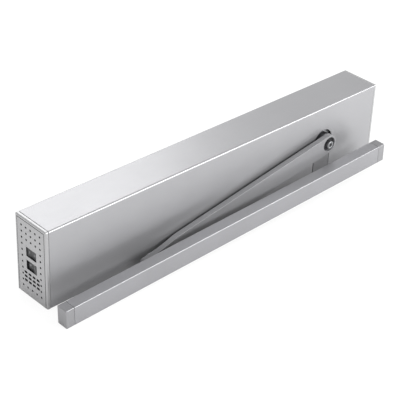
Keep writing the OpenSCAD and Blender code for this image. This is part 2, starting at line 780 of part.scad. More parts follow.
module drive_foot_screws() color("dimgray") for (p = foot_places()) {
    translate([p[0], p[1], foot_screw_sink])
        cylinder(r1 = 2 * foot_screw_r - foot_screw_sink, r2 = foot_screw_r,
            h = foot_screw_r - foot_screw_sink);
    rod_z(foot_screw_r - 0.01, drive_z0 - 1, p[0], p[1], foot_screw_r);
}

// A ball bearing as one ring, its shields sunk between inner and outer race
module bearing(y0) translate([spindle_x, y0, spindle_z]) rotate([-90, 0, 0]) rotate_extrude() difference() {
    translate([journal_r + run_gap, 0]) square([bearing_r - journal_r - run_gap, bearing_w]);
    for (y = [-eps, bearing_w - shield_sink])
        translate([journal_r + race_t, y]) square([bearing_r - journal_r - 2 * race_t, shield_sink + eps]);
}

module spindle_bearings() color("lightsteelblue") {
    bearing(-drive_y);
    bearing(bearing_y);
}

module idler_pin() color("lightsteelblue")
    rod_y(-drive_y + gear_inset, drive_y - gear_inset, idler_x, spindle_z, idler_pin_r);

module motor_can() color("dimgray") difference() {
    rod_y(motor_y0, motor_y1, motor_x, motor_z, motor_r);
    rod_y(motor_y0 + motor_end_t, motor_y1 - motor_end_t, motor_x, motor_z, motor_r - motor_wall);
    rod_y(motor_y0 - eps, motor_y1 - 1, motor_x, motor_z, shaft_r + run_gap);
}

module motor_rotor() color("sienna") difference() {
    rod_y(motor_y0 + motor_end_t + rotor_gap, motor_y1 - motor_end_t - rotor_gap, motor_x, motor_z,
        motor_r - motor_wall - rotor_gap);
    rod_y(motor_y0, motor_y1, motor_x, motor_z, shaft_r + run_gap);
    for (i = [1 : motor_slots]) translate([motor_x, 0, motor_z]) rotate([0, i * 360 / motor_slots, 0])
        translate([motor_r - motor_wall - rotor_gap - motor_slot_depth, motor_y0, -motor_slot_w / 2])
            cube([motor_slot_depth + 1, motor_l, motor_slot_w]);
}

module motor_shaft() color("lightsteelblue")
    rod_y(-idler_y, motor_y1 - motor_shaft_gap, motor_x, motor_z, shaft_r);

// Involute gear teeth. r_b is the base radius, half_angle the half width of a tooth at radius r.
function inv_deg(a) = tan(a) * 180 / PI - a;
function half_angle(m, z, r) = 90 / z - tooth_slack / (m * z) * 180 / PI + inv_deg(pressure_angle)
    - inv_deg(acos(min(1, m * z / 2 * cos(pressure_angle) / r)));
function polar(r, a) = [r * cos(a), r * sin(a)];
function tooth(m, z, centre) = let (
    r_f = m * z / 2 - tooth_root * m,
    r_b = max(r_f + 0.01, m * z / 2 * cos(pressure_angle)),
    r_a = m * z / 2 + tooth_top * m,
    steps = [for (i = [0 : 4]) r_b + (r_a - r_b) * i / 4]
) concat(
    [polar(r_f, centre - half_angle(m, z, r_b) * root_spread)],
    [for (r = steps) polar(r, centre - half_angle(m, z, r))],
    [for (i = [4 : -1 : 0]) polar(steps[i], centre + half_angle(m, z, steps[i]))],
    [polar(r_f, centre + half_angle(m, z, r_b) * root_spread)]
);
function teeth(m, z, first, last, turn) =
    [for (i = [first : last]) each tooth(m, z, turn + i * 360 / z)];

module gear(m, z, turn) polygon(teeth(m, z, 0, z - 1, turn));

// The output gear has teeth only where the lever's swing brings them to the idler
module output_gear() color("slategray") translate([spindle_x, 0, spindle_z]) along_y(wheel_y0, wheel_y1)
    difference() {
        union() {
            circle(output_disc_r);
            polygon(concat([[0, 0]],
                teeth(output_m, wheel_teeth, -2, ceil(swing / 360 * wheel_teeth) + 2, 0)));
        }
        circle(spindle_r + seat_gap);
    }

module idler_gear() color("slategray") translate([idler_x, 0, spindle_z]) difference() {
    union() {
        along_y(-wheel_y1, -wheel_y0) gear(motor_m, wheel_teeth, motor_angle);
        along_y(-idler_y, idler_y) circle(idler_hub_r);
        along_y(wheel_y0 - 0.5, idler_y) gear(output_m, pinion_teeth, 180 + 180 / pinion_teeth);
    }
    rod_y(-idler_y - eps, idler_y + eps, 0, 0, idler_pin_r + run_gap);
}

module motor_pinion() color("goldenrod") translate([motor_x, 0, motor_z]) difference() {
    along_y(-wheel_y1 + gear_inset, -wheel_y0 - gear_inset)
        gear(motor_m, pinion_teeth, motor_angle + 180 + 180 / pinion_teeth);
    rod_y(-idler_y - eps, 0, 0, 0, shaft_r + run_gap);
}

module output_spindle() color("lightsteelblue") difference() {
    union() {
        rod_y(-drive_y, drive_y, spindle_x, spindle_z, journal_r);
        rod_y(-bearing_y + free_gap, bearing_y - free_gap, spindle_x, spindle_z, spindle_r);
        box(spindle_x - square_w / 2, spindle_x + square_w / 2, -drive_y - square_l, drive_y + 2,
            spindle_z - square_w / 2, spindle_z + square_w / 2);
    }
    rod_y(-drive_y - square_l - eps, bolt_y1 + bolt_shank_l + 2, spindle_x, spindle_z, bolt_r + seat_gap);
    rod_y(drive_y - tapped_depth, drive_y + 3, spindle_x, spindle_z, bolt_r + seat_gap);
}

// Distance of the roller's centre from the spindle, at an angle past its place at rest
cam_end = swing + 2;
cam_ease = 20;
cam_last = 335;
function reach(a) =
    a < 0 ? roller_reach
    : a <= cam_end ? roller_reach + cam_rate * a
    : a <= cam_end + cam_ease ? roller_reach + cam_rate * (a - pow(a - cam_end, 2) / (2 * cam_ease))
    : roller_reach + cam_rate * (cam_end + cam_ease / 2) * (1 + cos(180 * (a - cam_end - cam_ease)
        / (cam_last - cam_end - cam_ease))) / 2;
function reach_rate(a) = (reach(a + 0.01) - reach(a - 0.01)) / 0.02 * 180 / PI;
// A point of the cam's edge: the roller's radius in from its centre, square to its path
function cam_point(a, rate) = let (
    b = 180 + a,
    r = reach(a),
    inward = [-(rate * sin(b) + r * cos(b)), rate * cos(b) - r * sin(b)]
) polar(r, b) + (roller_r + seat_gap) * inward / norm(inward);
cam_outline = concat(
    [for (a = [-24 : 4 : -1]) cam_point(a, 0)],
    [for (share = [0 : 0.125 : 1]) cam_point(0, share * cam_rate * 180 / PI)],
    [for (a = [3 : 3 : cam_last - 1]) cam_point(a, reach_rate(a))]
);

module cam_disc() color("slategray") translate([spindle_x, 0, spindle_z])
    along_y(-cam_y, cam_y) difference() {
        polygon(cam_outline);
        circle(spindle_r + seat_gap);
    }

module spindle_extension() color("silver") difference() {
    union() {
        rod_y(lever_y1, -drive_y - free_gap, spindle_x, spindle_z, extension_r);
        box(spindle_x - square_w / 2, spindle_x + square_w / 2, washer_y1, lever_y1 + 0.01,
            spindle_z - square_w / 2, spindle_z + square_w / 2);
    }
    box(spindle_x - square_w / 2 - seat_gap, spindle_x + square_w / 2 + seat_gap,
        -drive_y - square_l - free_gap, -drive_y + eps,
        spindle_z - square_w / 2 - seat_gap, spindle_z + square_w / 2 + seat_gap);
    rod_y(washer_y1 - eps, -drive_y, spindle_x, spindle_z, bolt_r + seat_gap);
}

// The lever's outline about the spindle: the upper edge is straight from head to tip, the lower
// edge keeps its distance from it as far as the waist, and then rises to the tip
module lever_outline() {
    lean = asin((lever_head_r - lever_tip_r) / (lever_l + lever_tip_l));
    up = [-sin(lean), cos(lean)];
    tip = [-lever_l - lever_tip_l, 0];
    waist = lever_even_l * [-cos(lean), -sin(lean)];
    run = tip - waist;
    narrow = (lever_head_r - lever_tip_r) / norm(run);
    down = (narrow * run + sqrt(1 - pow(narrow, 2)) * [-run[1], run[0]]) / norm(run);
    circle(lever_head_r);
    translate(waist) circle(lever_head_r);
    translate(tip) circle(lever_tip_r);
    polygon([
        lever_head_r * up,
        tip + lever_tip_r * up,
        tip + lever_tip_r * down,
        waist + lever_head_r * down,
        waist - lever_head_r * up,
        -lever_head_r * up
    ]);
}

// The lever's side view: a straight bar, cranked towards the channel at its tip
module lever_side() {
    pad = -lever_l + lever_pad_l;
    end = -lever_l - lever_tip_l - lever_tip_r - eps;
    steps = 12;
    slope = [for (i = [0 : steps])
        [pad + lever_slope_l * i / steps, lever_crank * (1 + cos(180 * i / steps)) / 2]];
    polygon(concat(
        [[lever_head_r + eps, lever_y1]],
        [for (i = [steps : -1 : 0]) [slope[i][0], lever_y1 - slope[i][1]]],
        [[end, pad_y1], [end, pad_y0]],
        [for (p = slope) [p[0], lever_y0 - p[1]]],
        [[lever_head_r + eps, lever_y0]]
    ));
}

module on_lever() translate([spindle_x, 0, spindle_z]) rotate([0, -lever_drop, 0]) children();

module lever() color("silver") difference() {
    on_lever() difference() {
        intersection() {
            along_y(pad_y0 - eps, lever_y1 + eps) lever_outline();
            along_z(-2 * lever_head_r, 2 * lever_head_r) lever_side();
        }
        rod_y(pad_y0 - eps, pad_y1 + eps, -lever_l, 0, pin_r + run_gap);
    }
    rod_y(lever_y0 - eps, washer_y1, spindle_x, spindle_z, recess_r);
    box(spindle_x - square_w / 2 - seat_gap, spindle_x + square_w / 2 + seat_gap, lever_y0, lever_y1 + eps,
        spindle_z - square_w / 2 - seat_gap, spindle_z + square_w / 2 + seat_gap);
}

module lever_washer() color("dimgray") difference() {
    rod_y(bolt_y1, washer_y1, spindle_x, spindle_z, washer_r);
    rod_y(bolt_y1 - eps, washer_y1 + eps, spindle_x, spindle_z, bolt_r + seat_gap);
}

module lever_bolt() color("silver") difference() {
    union() {
        rod_y(bolt_y1 - bolt_head_h, bolt_y1, spindle_x, spindle_z, bolt_head_r);
        rod_y(bolt_y1 - 0.01, bolt_y1 + bolt_shank_l, spindle_x, spindle_z, bolt_r);
    }
    translate([spindle_x, bolt_y1 - bolt_head_h + socket_depth, spindle_z]) rotate([90, 0, 0])
        cylinder(d = socket_w / cos(30), h = socket_depth + eps, $fn = 6);
}

// The slide pin is fixed in the block and turns in the lever, held by its collar and its head
module slide_pin() color("lightsteelblue") {
    rod_y(channel_y0 + 2 * channel_wall, pad_y1 + free_gap + 0.01, pin_x, pin_z, pin_r);
    rod_y(pad_y0 - free_gap - pin_collar_t, pad_y0 - free_gap, pin_x, pin_z, pin_collar_r);
    rod_y(pad_y1 + free_gap, pad_y1 + free_gap + pin_collar_t, pin_x, pin_z, pin_collar_r);
}

module spring_tube() color("darkgray") difference() {
    rod_x(tube_x0, tube_x1, 0, spindle_z, tube_r + tube_wall);
    rod_x(tube_x0 - eps, tube_x1 + eps, 0, spindle_z, tube_r);
}

module tube_saddle() color("darkgray") {
    saddle_x = tube_x0 + tube_l / 2;
    difference() {
        box(saddle_x - saddle_l / 2, saddle_x + saddle_l / 2, -tube_r + saddle_inset, tube_r - saddle_inset,
            base_t, spindle_z - saddle_drop);
        rod_x(tube_x0, tube_x1, 0, spindle_z, tube_r + tube_wall + seat_gap);
        along_x(tube_x0, tube_x1)
            round_rect(-tube_r + saddle_inset + saddle_wall, tube_r - saddle_inset - saddle_wall,
                base_t + saddle_wall, spindle_z - tube_r - tube_wall - saddle_wall, saddle_wall / 2);
    }
}

module spring_adjuster() color("goldenrod") difference() {
    rod_x(tube_x0 + gear_inset, adjuster_x1, 0, spindle_z, tube_r - run_gap);
    translate([tube_x0, 0, spindle_z]) rotate([0, 90, 0])
        cylinder(d = adjuster_socket_w, h = adjuster_socket_depth, $fn = 6);
    rod_x(adjuster_x1 - adjuster_hole_depth, adjuster_x1 + eps, 0, spindle_z, rod_r + 1);
}

module closing_spring() color("slategray") difference() {
    rod_x(adjuster_x1, piston_x0, 0, spindle_z, spring_r);
    rod_x(adjuster_x1 - eps, piston_x0 + eps, 0, spindle_z, spring_inner_r);
}

module spring_piston() color("lightsteelblue") {
    rod_x(piston_x0, piston_x1, 0, spindle_z, tube_r - run_gap);
    rod_x(piston_x0 - guide_l, piston_x0 + 0.01, 0, spindle_z, rod_r);
    rod_x(piston_x1 - 0.01, fork_x0 + 0.01, 0, spindle_z, rod_r);
    difference() {
        box(fork_x0, roller_x + roller_pin_r + fork_end_t, -fork_y1, fork_y1,
            spindle_z - fork_h, spindle_z + fork_h);
        box(fork_x0 + fork_root_t, roller_x + 2 * fork_l, -fork_y0, fork_y0,
            spindle_z - fork_h - eps, spindle_z + fork_h + eps);
        rod_y(-fork_y1 - eps, fork_y1 + eps, roller_x, spindle_z, roller_pin_r + seat_gap / 2);
    }
}

module roller_pin() color("lightsteelblue") rod_y(-fork_y1, fork_y1, roller_x, spindle_z, roller_pin_r);

module cam_roller() color("silver") difference() {
    rod_y(-fork_y0 + free_gap, fork_y0 - free_gap, roller_x, spindle_z, roller_r);
    rod_y(-fork_y0, fork_y0, roller_x, spindle_z, roller_pin_r + run_gap);
}

// Turns a piece with the channel, which hangs a little off the case's direction
module on_channel() translate([channel_x0, 0, 0]) rotate([0, -channel_tilt, 0]) translate([-channel_x0, 0, 0])
    children();

module slide_block() color("dimgray") on_channel() difference() {
    along_y(channel_y0 + channel_wall + free_gap, channel_y1 - channel_wall - free_gap)
        round_rect(channel_x0 + pin_u - slide_block_l / 2, channel_x0 + pin_u + slide_block_l / 2,
            chamber_z0 + free_gap, chamber_z1 - free_gap, slide_block_r);
    rod_y(channel_y0, channel_y1, channel_x0 + pin_u, pin_h, pin_r + seat_gap);
}

// The channel's section as (y, z): the slotted chamber for the slide block, and a box in front of it
module channel_section() difference() {
    round_rect(channel_y0, channel_y1, 0, channel_d, channel_edge_r);
    translate([channel_y0 + channel_wall, chamber_z0]) square([chamber_w, chamber_h]);
    translate([channel_ym, pin_h - slot_w / 2]) square([channel_w, slot_w]);
    translate([channel_y0 + channel_wall, chamber_z1 + channel_wall])
        square([chamber_w, channel_d - 2 * channel_wall - chamber_z1]);
}

module slide_channel() color("silver") on_channel() along_x(rail_x0, rail_x1) channel_section();

// Both ends of the channel carry the same pieces; the right-hand ones are turned round
module both_channel_ends() on_channel() {
    children();
    translate([channel_x0 + channel_x1, 0, 0]) mirror([1, 0, 0]) children();
}

module channel_brackets() color("darkgray") both_channel_ends() difference() {
    union() {
        box(rail_x0 - bracket_lap, rail_x0 + plug_l, channel_y0 + channel_wall + seat_gap,
            channel_y1 - channel_wall - seat_gap, chamber_z0 + seat_gap, chamber_z1 - seat_gap);
        box(channel_x0 + channel_wall + seat_gap, rail_x0 - seat_gap, channel_y0 + channel_wall + seat_gap,
            channel_y1 - channel_wall - seat_gap, 0, foot_t);
    }
    rod_z(-eps, foot_t + eps, channel_x0 + channel_hole_inset, channel_ym, channel_hole_d / 2);
}

// A hollow cap over each bracket, its outer edges rounded like the channel's
module channel_end_caps() color("silver") both_channel_ends() difference() {
    intersection() {
        along_x(channel_x0, rail_x0 - cap_seam)
            round_rect(channel_y0, channel_y1, 0, channel_d, channel_edge_r);
        along_y(channel_y0, channel_y1)
            round_rect(channel_x0, rail_x0 + channel_cap_l, 0, channel_d, channel_edge_r);
        along_z(0, channel_d)
            round_rect(channel_x0, rail_x0 + channel_cap_l, channel_y0, channel_y1, channel_edge_r);
    }
    box(channel_x0 + channel_wall, rail_x0 + eps, channel_y0 + channel_wall, channel_y1 - channel_wall,
        -eps, channel_d - channel_wall);
}

module channel_buffers() color("dimgray") both_channel_ends()
    box(rail_x0 + plug_l, rail_x0 + plug_l + buffer_t, channel_y0 + channel_wall + seat_gap,
        channel_y1 - channel_wall - seat_gap, chamber_z0 + seat_gap, chamber_z1 - seat_gap);

// A rocker, level, with its pivot on the Z axis; its face has a shallow valley
module rocker_shape() {
    along_z(-rocker_h / 2, rocker_h / 2) polygon([
        [-rocker_pivot_depth, -rocker_w / 2], [-rocker_pivot_depth + rocker_valley, 0],
        [-rocker_pivot_depth, rocker_w / 2],
        [rocker_edge_t - rocker_pivot_depth, rocker_w / 2 - rocker_taper],
        [rocker_back_l, rocker_back_w / 2], [rocker_back_l, -rocker_back_w / 2],
        [rocker_edge_t - rocker_pivot_depth, -rocker_w / 2 + rocker_taper]
    ]);
    rod_z(-window_h / 2 - switch_wall, window_h / 2 + switch_wall, 0, 0, rocker_pin_r);
}

module program_rocker() color("dimgray") translate([rocker_x, 0, program_z]) rocker_shape();

module power_rocker() color("dimgray")
    translate([rocker_x, 0, power_z]) rotate([0, 0, -rocker_tilt]) rocker_shape();

module switch_bodies() color("dimgray") for (z = [power_z, program_z]) difference() {
    box(plate_x1, switch_x1, -window_w / 2 - switch_wall, window_w / 2 + switch_wall,
        z - window_h / 2 - switch_wall, z + window_h / 2 + switch_wall);
    box(plate_x1 - eps, rocker_x + switch_hollow, -window_w / 2, window_w / 2,
        z - window_h / 2, z + window_h / 2);
    rod_z(z - window_h, z + window_h, rocker_x, 0, rocker_pin_r + run_gap);
}

module board_carrier() color("dimgray") difference() {
    union() {
        difference() {
            along_z(base_t, base_t + tray_h)
                round_rect(board_x0 - tray_margin, board_x0 + board_l + tray_margin,
                    -board_w / 2 - tray_margin, board_w / 2 + tray_margin, tray_r);
            along_z(base_t + tray_wall, base_t + tray_h + eps)
                round_rect(board_x0 - tray_margin + tray_wall, board_x0 + board_l + tray_margin - tray_wall,
                    -board_w / 2 - tray_margin + tray_wall, board_w / 2 + tray_margin - tray_wall,
                    tray_r - tray_wall / 2);
        }
        for (p = board_posts()) rod_z(base_t + tray_wall / 2, board_z, p[0], p[1], post_r);
    }
    for (p = board_posts()) rod_z(base_t - eps, board_z + eps, p[0], p[1], post_hole_r);
}

module control_board() color("seagreen") difference() {
    box(board_x0, board_x0 + board_l, -board_w / 2, board_w / 2, board_z, board_z + board_t);
    for (p = board_posts()) rod_z(board_z - eps, board_z + board_t + eps, p[0], p[1], post_hole_r);
}

board_top = board_z + board_t;

// Relays and capacitors in a row each, and a processor beside them
module board_components() color("dimgray") {
    row_x = board_x0 + relay_inset;
    for (i = [0 : relays - 1])
        box(row_x + i * relay_pitch, row_x + i * relay_pitch + relay_l,
            relay_gap / 2, relay_gap / 2 + relay_w, board_top, board_top + relay_h);
    for (i = [0 : capacitors - 1])
        rod_z(board_top, board_top + capacitor_h, row_x + capacitor_r + i * capacitor_pitch,
            -relay_gap / 2 - relay_w / 2, capacitor_r);
    chip_x = board_x0 + board_l - chip_inset;
    box(chip_x - chip_w, chip_x, -chip_w / 2, chip_w / 2, board_top, board_top + chip_h);
}

module terminal_strip() color("seagreen") {
    strip_x = board_x0 + board_l - terminal_inset;
    strip_w = terminals * terminal_pitch;
    difference() {
        box(strip_x - terminal_l, strip_x, -strip_w / 2, strip_w / 2, board_top, board_top + terminal_h);
        for (i = [0 : terminals - 1])
            rod_x(strip_x - terminal_l / 2, strip_x + eps, (i + 0.5) * terminal_pitch - strip_w / 2,
                board_top + terminal_h / 3, terminal_r);
    }
}

// The power supply's case, with cooling ribs on its front
module power_supply() color("darkgray") {
    rib_pitch = supply_w / (supply_ribs - 0.5);
    along_x(supply_x0, supply_x0 + supply_l) difference() {
        round_rect(-supply_w / 2, supply_w / 2, base_t, base_t + supply_h, supply_edge_r);
        for (i = [1 : supply_ribs - 1])
            translate([-supply_w / 2 + (i - 0.5) * rib_pitch, base_t + supply_h - supply_rib_h])
                square([rib_pitch / 2, supply_rib_h + eps]);
    }
}

cover();
base_plate();
left_end_frame();
perforated_end_plate();
vent_mat();
right_end_cap();
spindle_opening_insert();
spindle_opening_blank();
drive_housing_front();
drive_housing_back();
housing_screws();
drive_foot_screws();
spindle_bearings();
idler_pin();
motor_can();
spring_tube();
tube_saddle();
spring_adjuster();
closing_spring();
switch_bodies();
board_carrier();
control_board();
board_components();
terminal_strip();
power_supply();
output_spindle();
output_gear();
cam_disc();
spindle_extension();
lever();
lever_washer();
lever_bolt();
slide_pin();
idler_gear();
motor_rotor();
motor_shaft();
motor_pinion();
spring_piston();
roller_pin();
cam_roller();
slide_block();
slide_channel();
channel_brackets();
channel_end_caps();
channel_buffers();
program_rocker();
power_rocker();
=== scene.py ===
import math

import bmesh
import bpy
from mathutils import Matrix, Vector


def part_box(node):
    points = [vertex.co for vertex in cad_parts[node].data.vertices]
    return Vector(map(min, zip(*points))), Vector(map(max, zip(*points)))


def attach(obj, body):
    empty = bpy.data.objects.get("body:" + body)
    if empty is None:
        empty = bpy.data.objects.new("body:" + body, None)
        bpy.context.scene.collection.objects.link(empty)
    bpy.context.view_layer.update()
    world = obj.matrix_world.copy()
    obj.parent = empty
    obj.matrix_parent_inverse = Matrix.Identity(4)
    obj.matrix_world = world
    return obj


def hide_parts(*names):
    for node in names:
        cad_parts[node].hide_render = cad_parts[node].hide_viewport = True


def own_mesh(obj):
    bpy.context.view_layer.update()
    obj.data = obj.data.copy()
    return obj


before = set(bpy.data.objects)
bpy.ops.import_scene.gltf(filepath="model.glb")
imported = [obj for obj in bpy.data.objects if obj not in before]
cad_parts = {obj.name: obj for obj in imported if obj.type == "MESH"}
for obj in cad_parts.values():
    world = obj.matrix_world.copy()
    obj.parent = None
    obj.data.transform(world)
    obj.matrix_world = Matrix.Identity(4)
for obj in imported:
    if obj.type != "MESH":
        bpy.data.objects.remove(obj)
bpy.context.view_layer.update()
mm = 0.001
print("frame loaded, nodes:", len(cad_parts))


def hexColour(code):
    # sRGB hex to linear RGBA
    channels = [int(code[i:i + 2], 16) / 255 for i in (1, 3, 5)]
    linear = [c / 12.92 if c <= 0.04045 else ((c + 0.055) / 1.055) ** 2.4 for c in channels]
    return (*linear, 1.0)


def addNode(tree, kind, inputs=None, **settings):
    # a node with its settings; an input is a value, or a socket to link from
    node = tree.nodes.new(kind)
    for key, value in settings.items():
        setattr(node, key, value)
    for key, value in (inputs or {}).items():
        if isinstance(value, bpy.types.NodeSocket):
            tree.links.new(value, node.inputs[key])
        else:
            node.inputs[key].default_value = value
    return node


def newMaterial(name):
    material = bpy.data.materials.new(name)
    material.use_nodes = True
    material.node_tree.nodes.clear()
    return material, material.node_tree


def drawnAluminium(name, look):
    # silver anodised metal: an even satin sheen with faint draw lines, coarser than real ones so
    # that they show; the etched skin under the clear oxide scatters part of the light, and a
    # lacquered one most of it
    material, tree = newMaterial(name)
    place = addNode(tree, "ShaderNodeTexCoord").outputs["Object"]
    along = addNode(tree, "ShaderNodeMapping", {"Vector": place, "Scale": look["stretch"]})
    lines = addNode(tree, "ShaderNodeTexNoise", {
        "Vector": along.outputs["Vector"], "Scale": 1 / (look["lineSpacing"] * mm),
        "Detail": 3.0, "Roughness": 0.6})
    cloud = addNode(tree, "ShaderNodeTexNoise", {
        "Vector": place, "Scale": 1 / (look["cloud"] * mm), "Detail": 2.0})
    tone = addNode(tree, "ShaderNodeMix", {
        "Factor": cloud.outputs["Fac"],
        "A": hexColour(look["dark"]), "B": hexColour(look["light"])}, data_type="RGBA")
    gloss = addNode(tree, "ShaderNodeMapRange", {
        "Value": lines.outputs["Fac"], "From Min": 0.3, "From Max": 0.7,
        "To Min": look["roughness"] - look["roughSpread"],
        "To Max": look["roughness"] + look["roughSpread"]})
    grain = addNode(tree, "ShaderNodeBump", {
        "Height": lines.outputs["Fac"], "Strength": look["bump"], "Distance": 0.05 * mm})
    shader = addNode(tree, "ShaderNodeBsdfPrincipled", {
        "Base Color": tone.outputs["Result"], "Metallic": look["metallic"],
        "Roughness": gloss.outputs["Result"], "Normal": grain.outputs["Normal"]})
    addNode(tree, "ShaderNodeOutputMaterial", {"Surface": shader.outputs[0]})
    return material


def castMetal(name, look):
    # sand or die casting: a dull skin with a fine pebble and slow blotches
    material, tree = newMaterial(name)
    place = addNode(tree, "ShaderNodeTexCoord").outputs["Object"]
    pebble = addNode(tree, "ShaderNodeTexNoise", {
        "Vector": place, "Scale": 1 / (look["grit"] * mm), "Detail": 4.0})
    blotch = addNode(tree, "ShaderNodeTexNoise", {
        "Vector": place, "Scale": 1 / (look["blotch"] * mm), "Detail": 2.0})
    tone = addNode(tree, "ShaderNodeMix", {
        "Factor": blotch.outputs["Fac"],
        "A": hexColour(look["dark"]), "B": hexColour(look["light"])}, data_type="RGBA")
    skin = addNode(tree, "ShaderNodeBump", {
        "Height": pebble.outputs["Fac"], "Strength": look["bump"], "Distance": 0.2 * mm})
    shader = addNode(tree, "ShaderNodeBsdfPrincipled", {
        "Base Color": tone.outputs["Result"], "Metallic": 1.0, "Roughness": look["roughness"],
        "Normal": skin.outputs["Normal"]})
    addNode(tree, "ShaderNodeOutputMaterial", {"Surface": shader.outputs[0]})
    return material


waveRepeat = 0.3   # a wave texture of scale 1 repeats about every 0.3 m


def turnedMetal(name, look):
    # turned, ground or hobbed metal: tool marks round the work, drawn coarser than real ones so
    # that they show from close by, and faint stains
    material, tree = newMaterial(name)
    place = addNode(tree, "ShaderNodeTexCoord").outputs["Object"]
    marks = addNode(tree, "ShaderNodeTexWave", {
        "Vector": place, "Scale": waveRepeat / (look["toolMark"] * mm), "Distortion": 1.5,
        "Detail": 2.0, "Detail Scale": 2.0}, bands_direction=look["across"])
    stain = addNode(tree, "ShaderNodeTexNoise", {
        "Vector": place, "Scale": 1 / (look["stain"] * mm), "Detail": 3.0})
    tone = addNode(tree, "ShaderNodeMix", {
        "Factor": stain.outputs["Fac"],
        "A": hexColour(look["dark"]), "B": hexColour(look["light"])}, data_type="RGBA")
    gloss = addNode(tree, "ShaderNodeMapRange", {
        "Value": marks.outputs["Fac"],
        "To Min": look["roughness"] - 0.04, "To Max": look["roughness"] + 0.06})
    shader = addNode(tree, "ShaderNodeBsdfPrincipled", {
        "Base Color": tone.outputs["Result"], "Metallic": 1.0,
        "Roughness": gloss.outputs["Result"]})
    addNode(tree, "ShaderNodeOutputMaterial", {"Surface": shader.outputs[0]})
    return material


grainsPerPatch = 12   # the tone of moulded plastic drifts over about this many grains


def mouldedPlastic(name, look):
    # spark-eroded mould texture: an even grain that breaks up the gloss, drawn coarser than a
    # real one so that it shows
    material, tree = newMaterial(name)
    place = addNode(tree, "ShaderNodeTexCoord").outputs["Object"]
    grain = addNode(tree, "ShaderNodeTexVoronoi", {
        "Vector": place, "Scale": 1 / (look["grain"] * mm)})
    shade = addNode(tree, "ShaderNodeTexNoise", {
        "Vector": place, "Scale": 1 / (look["grain"] * grainsPerPatch * mm), "Detail": 2.0})
    tone = addNode(tree, "ShaderNodeMix", {
        "Factor": shade.outputs["Fac"],
        "A": hexColour(look["dark"]), "B": hexColour(look["light"])}, data_type="RGBA")
    skin = addNode(tree, "ShaderNodeBump", {
        "Height": grain.outputs["Distance"], "Strength": look["bump"], "Distance": 0.1 * mm})
    shader = addNode(tree, "ShaderNodeBsdfPrincipled", {
        "Base Color": tone.outputs["Result"], "Roughness": look["roughness"], "IOR": look["ior"],
        "Normal": skin.outputs["Normal"]})
    addNode(tree, "ShaderNodeOutputMaterial", {"Surface": shader.outputs[0]})
    return material


def copperWinding(name, look):
    # enamelled wire laid side by side: bands one wire wide along the stack
    material, tree = newMaterial(name)
    place = addNode(tree, "ShaderNodeTexCoord").outputs["Object"]
    wires = addNode(tree, "ShaderNodeTexWave", {
        "Vector": place, "Scale": waveRepeat / (look["wire"] * mm), "Distortion": 0.4},
        bands_direction="Y")
    tone = addNode(tree, "ShaderNodeMix", {
        "Factor": wires.outputs["Fac"],
        "A": hexColour(look["dark"]), "B": hexColour(look["light"])}, data_type="RGBA")
    turns = addNode(tree, "ShaderNodeBump", {
        "Height": wires.outputs["Fac"], "Strength": 0.6, "Distance": look["wire"] / 2 * mm})
    shader = addNode(tree, "ShaderNodeBsdfPrincipled", {
        "Base Color": tone.outputs["Result"], "Metallic": 1.0, "Roughness": look["roughness"],
        "Normal": turns.outputs["Normal"]})
    addNode(tree, "ShaderNodeOutputMaterial", {"Surface": shader.outputs[0]})
    return material


def laminateBoard(name, look):
    # glass-fibre laminate: the weave shows faintly under green lacquer
    material, tree = newMaterial(name)
    place = addNode(tree, "ShaderNodeTexCoord").outputs["Object"]
    weave = addNode(tree, "ShaderNodeTexChecker", {
        "Vector": place, "Scale": 1 / (look["weave"] * mm),
        "Color1": hexColour(look["dark"]), "Color2": hexColour(look["light"])})
    shader = addNode(tree, "ShaderNodeBsdfPrincipled", {
        "Base Color": weave.outputs["Color"], "Roughness": look["roughness"], "IOR": look["ior"]})
    addNode(tree, "ShaderNodeOutputMaterial", {"Surface": shader.outputs[0]})
    return material


